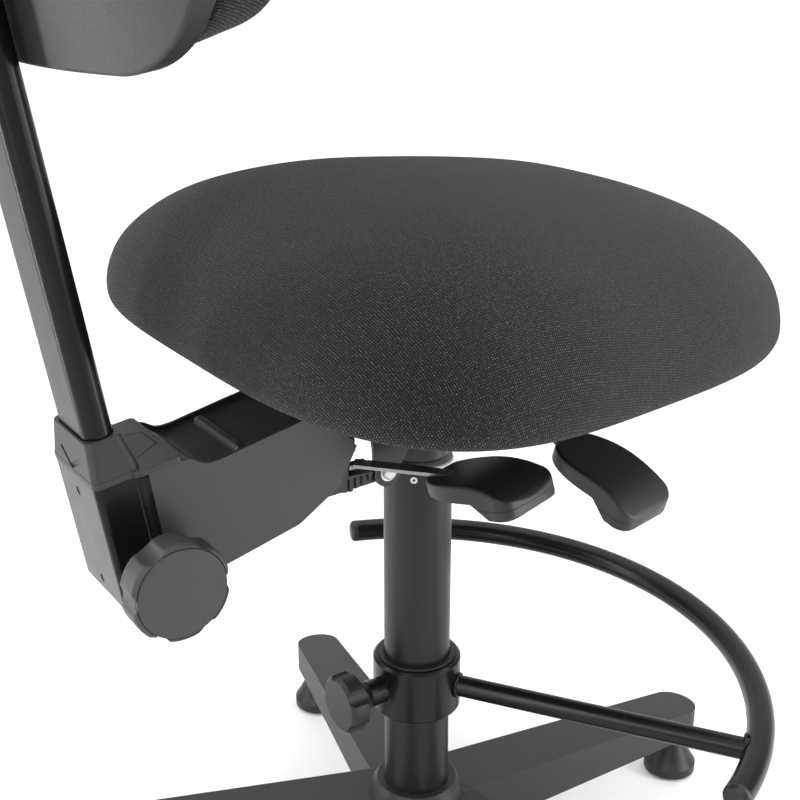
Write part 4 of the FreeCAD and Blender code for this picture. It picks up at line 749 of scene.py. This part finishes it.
# ---- welds ----
def bead(points, faces, centre, axis, radius, thick, waves):
    """Rippled ring of weld round an axis."""
    axis = axis.normalized()
    side = axis.orthogonal().normalized()
    other = axis.cross(side)
    count, sides = 48, 8
    first = len(points)
    for k in range(count):
        angle = 2 * math.pi * k / count
        out = side * math.cos(angle) + other * math.sin(angle)
        size = thick * (1 + 0.12 * math.sin(waves * angle))
        for j in range(sides):
            turn = 2 * math.pi * j / sides
            rim = out * (radius + size * math.cos(turn)) + axis * size * math.sin(turn)
            points.append(centre + rim)
    for k in range(count):
        here, after = first + k * sides, first + (k + 1) % count * sides
        for j in range(sides):
            following = (j + 1) % sides
            faces.append((here + j, here + following, after + following, after + j))


def spoke_welds(looks):
    """Welds where the foot ring's spokes meet the collar and the ring."""
    low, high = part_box("ring_spokes")
    height = (low.z + high.z) / 2
    collar_low, collar_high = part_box("ring_collar")
    collar = (collar_high.x - collar_low.x) / 2
    ring_low, ring_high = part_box("foot_ring")
    ring = -ring_low.y - (ring_high.z - ring_low.z)
    lean = math.atan2(high.x, -low.y)
    points, faces = [], []
    for side in (-1, 1):
        out = Vector((side * math.sin(lean), -math.cos(lean), 0))
        for reach in (collar + 0.3 * MM, ring + 0.6 * MM):
            middle = out * reach + Vector((0, 0, height))
            bead(points, faces, middle, out, SPOKE_WELD_RADIUS, SPOKE_WELD_THICK, 18)
    welds = mesh_object("spoke_welds", points, faces, looks["ring_paint"])
    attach(welds, "footrest")


def arm_fillets(looks):
    """Smooth weld between each cheek's rear edge and the receiver's side."""
    points, faces = [], []
    for side in (-1, 1):
        first = len(points)
        for step in range(ARM_WELD_STEPS + 1):
            height = (ARM_WELD_FOOT + ARM_WELD_LENGTH * step / ARM_WELD_STEPS) * MM
            ring = arm_weld_section(ARM_WELD_DEPTH + 0.12 * math.sin(step * 1.9))
            points.extend(lean_point(side * x * MM, depth * MM, height) for x, depth in ring)
        count = len(ring)
        for step in range(ARM_WELD_STEPS):
            for k in range(count):
                a, b = first + step * count + k, first + step * count + (k + 1) % count
                faces.append(outward((a, b, b + count, a + count), side < 0))
        last = first + ARM_WELD_STEPS * count
        faces.append(outward(tuple(first + k for k in range(count)), side > 0))
        faces.append(outward(tuple(last + k for k in range(count)), side < 0))
    welds = mesh_object("arm_fillets", points, faces, looks["post_paint"])
    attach(welds, "arm")


def arm_weld_section(length):
    """Outline of the weld, in millimetres across and along the post frame's depth."""
    middle, half, front, arc = 35.7, 1.75, -18.6, 12
    outside = []
    for k in range(arc + 1):
        across = middle + half * math.cos(math.pi * k / arc)
        outside.append((across, front + length * k / arc))
    return [(37.35, -18.9), *outside, (33.8, -17.5)]


def outward(face, as_is):
    """The face, or the same face seen from its other side."""
    return face if as_is else face[::-1]


# ---- soft-edged mouldings ----
def soft_copy(name, slot, body, looks, passes):
    """The CAD piece with its edges melted round, as a moulding's are."""
    piece = bpy.data.objects.new(name + "_soft", nodes[name].data.copy())
    bpy.context.scene.collection.objects.link(piece)
    piece.data.materials.clear()
    piece.data.materials.append(looks[slot])
    remesh = piece.modifiers.new("Remesh", "REMESH")
    remesh.mode = "VOXEL"
    remesh.voxel_size = MOULDING_VOXEL
    apply_modifier(piece, "Remesh")
    smooth(piece, passes)
    shade_smooth(piece.data)
    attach(piece, body)
    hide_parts(name)
    return piece


def paddle_frame(root, yaw, pitch, roll):
    """The paddle's own frame: X points out along it, from its root."""
    turn = Matrix.Rotation(math.radians(180 + yaw), 4, "Z")
    dip = Matrix.Rotation(math.radians(-pitch), 4, "Y")
    return Matrix.Translation(root) @ (turn @ dip) @ Matrix.Rotation(math.radians(roll), 4, "X")


def paddles(looks):
    """Both lever grips, with the moulding's seam round the tip."""
    for name, (body, root, turns) in PADDLES.items():
        grip = soft_copy(name, "grip_plastic", body, looks, 3)
        back = paddle_frame(Vector(root) * MM, *turns).inverted()
        local = [back @ vertex.co for vertex in grip.data.vertices]
        far = [SEAM_ZERO + (p.z - SEAM_HEIGHT) / MM + max(0.0, SEAM_START - p.x) / MM for p in local]
        layer = grip.data.attributes.new("seam", "FLOAT", "POINT")
        layer.data.foreach_set("value", np.array(far, np.float32))


# ---- surroundings ----
def floor():
    """Matt off-white floor, slightly uneven in tone."""
    s = Surface("floor_paint")
    s.set(Base_Color=s.mixed(s.grain(3.0, 2.0), (0.86, 0.86, 0.86), (0.90, 0.90, 0.90)))
    s.shader.inputs["Roughness"].default_value = 0.9
    corners = ((-1, -1), (1, -1), (1, 1), (-1, 1))
    points = [(x * FLOOR_HALF, y * FLOOR_HALF, 0) for x, y in corners]
    ground = mesh_object("floor", points, [(0, 1, 2, 3)], s.material)


def look_along(thing, direction):
    """Turn a lamp or a camera to face this way, upright."""
    thing.rotation_euler = direction.to_track_quat("-Z", "Y").to_euler()


def area_light(name, place, aim, wide, tall, power):
    light = bpy.data.lights.new(name, "AREA")
    light.shape = "RECTANGLE"
    light.size = wide
    light.size_y = tall
    light.energy = power
    lamp = bpy.data.objects.new(name, light)
    lamp.location = place
    look_along(lamp, Vector(aim) - Vector(place))
    lamp.visible_camera = False
    bpy.context.scene.collection.objects.link(lamp)


def studio():
    """Area lights, and a sky that is bright overhead and beyond the object."""
    world = bpy.data.worlds.new("studio")
    bpy.context.scene.world = world
    world.use_nodes = True
    t = NodeTree(world.node_tree)
    direction = t.add("ShaderNodeTexCoord").outputs["Generated"]
    overhead = t.ramp(t.split(direction)[2], 0.40, 0.85, 0.12, 2.15)
    beyond = t.ramp(t.dot(direction, BACKDROP_SIDE), 0.25, 0.80)
    sky = t.tree.nodes["Background"]
    sky.inputs["Color"].default_value = (1.0, 1.0, 1.0, 1.0)
    t.feed(sky.inputs["Strength"], t.maths("MAXIMUM", overhead, beyond))
    for name, values in LIGHTS.items():
        area_light(name, *values)
    bpy.context.scene.view_settings.view_transform = "Standard"


def camera():
    """The main view: from behind the sitter's right, 20.5 degrees down."""
    data = bpy.data.cameras.new("camera")
    data.lens = CAMERA_LENS
    data.sensor_width = CAMERA_SENSOR
    data.clip_start = 0.05
    view = bpy.data.objects.new("camera", data)
    view.location = CAMERA_PLACE
    look_along(view, Vector(CAMERA_AHEAD))
    bpy.context.scene.collection.objects.link(view)
    bpy.context.scene.camera = view


def main():
    camera()
    studio()
    floor()
    looks = finishes()
    looks["dust_cover"] = dust_cover("dust_cover")
    dress_frame(looks)
    seat_cover(looks)
    back_cover(looks)
    spoke_welds(looks)
    paddles(looks)
    soft_copy("knob_grip", "knob_plastic", "post_knob", looks, 5)
    arm_fillets(looks)


main()
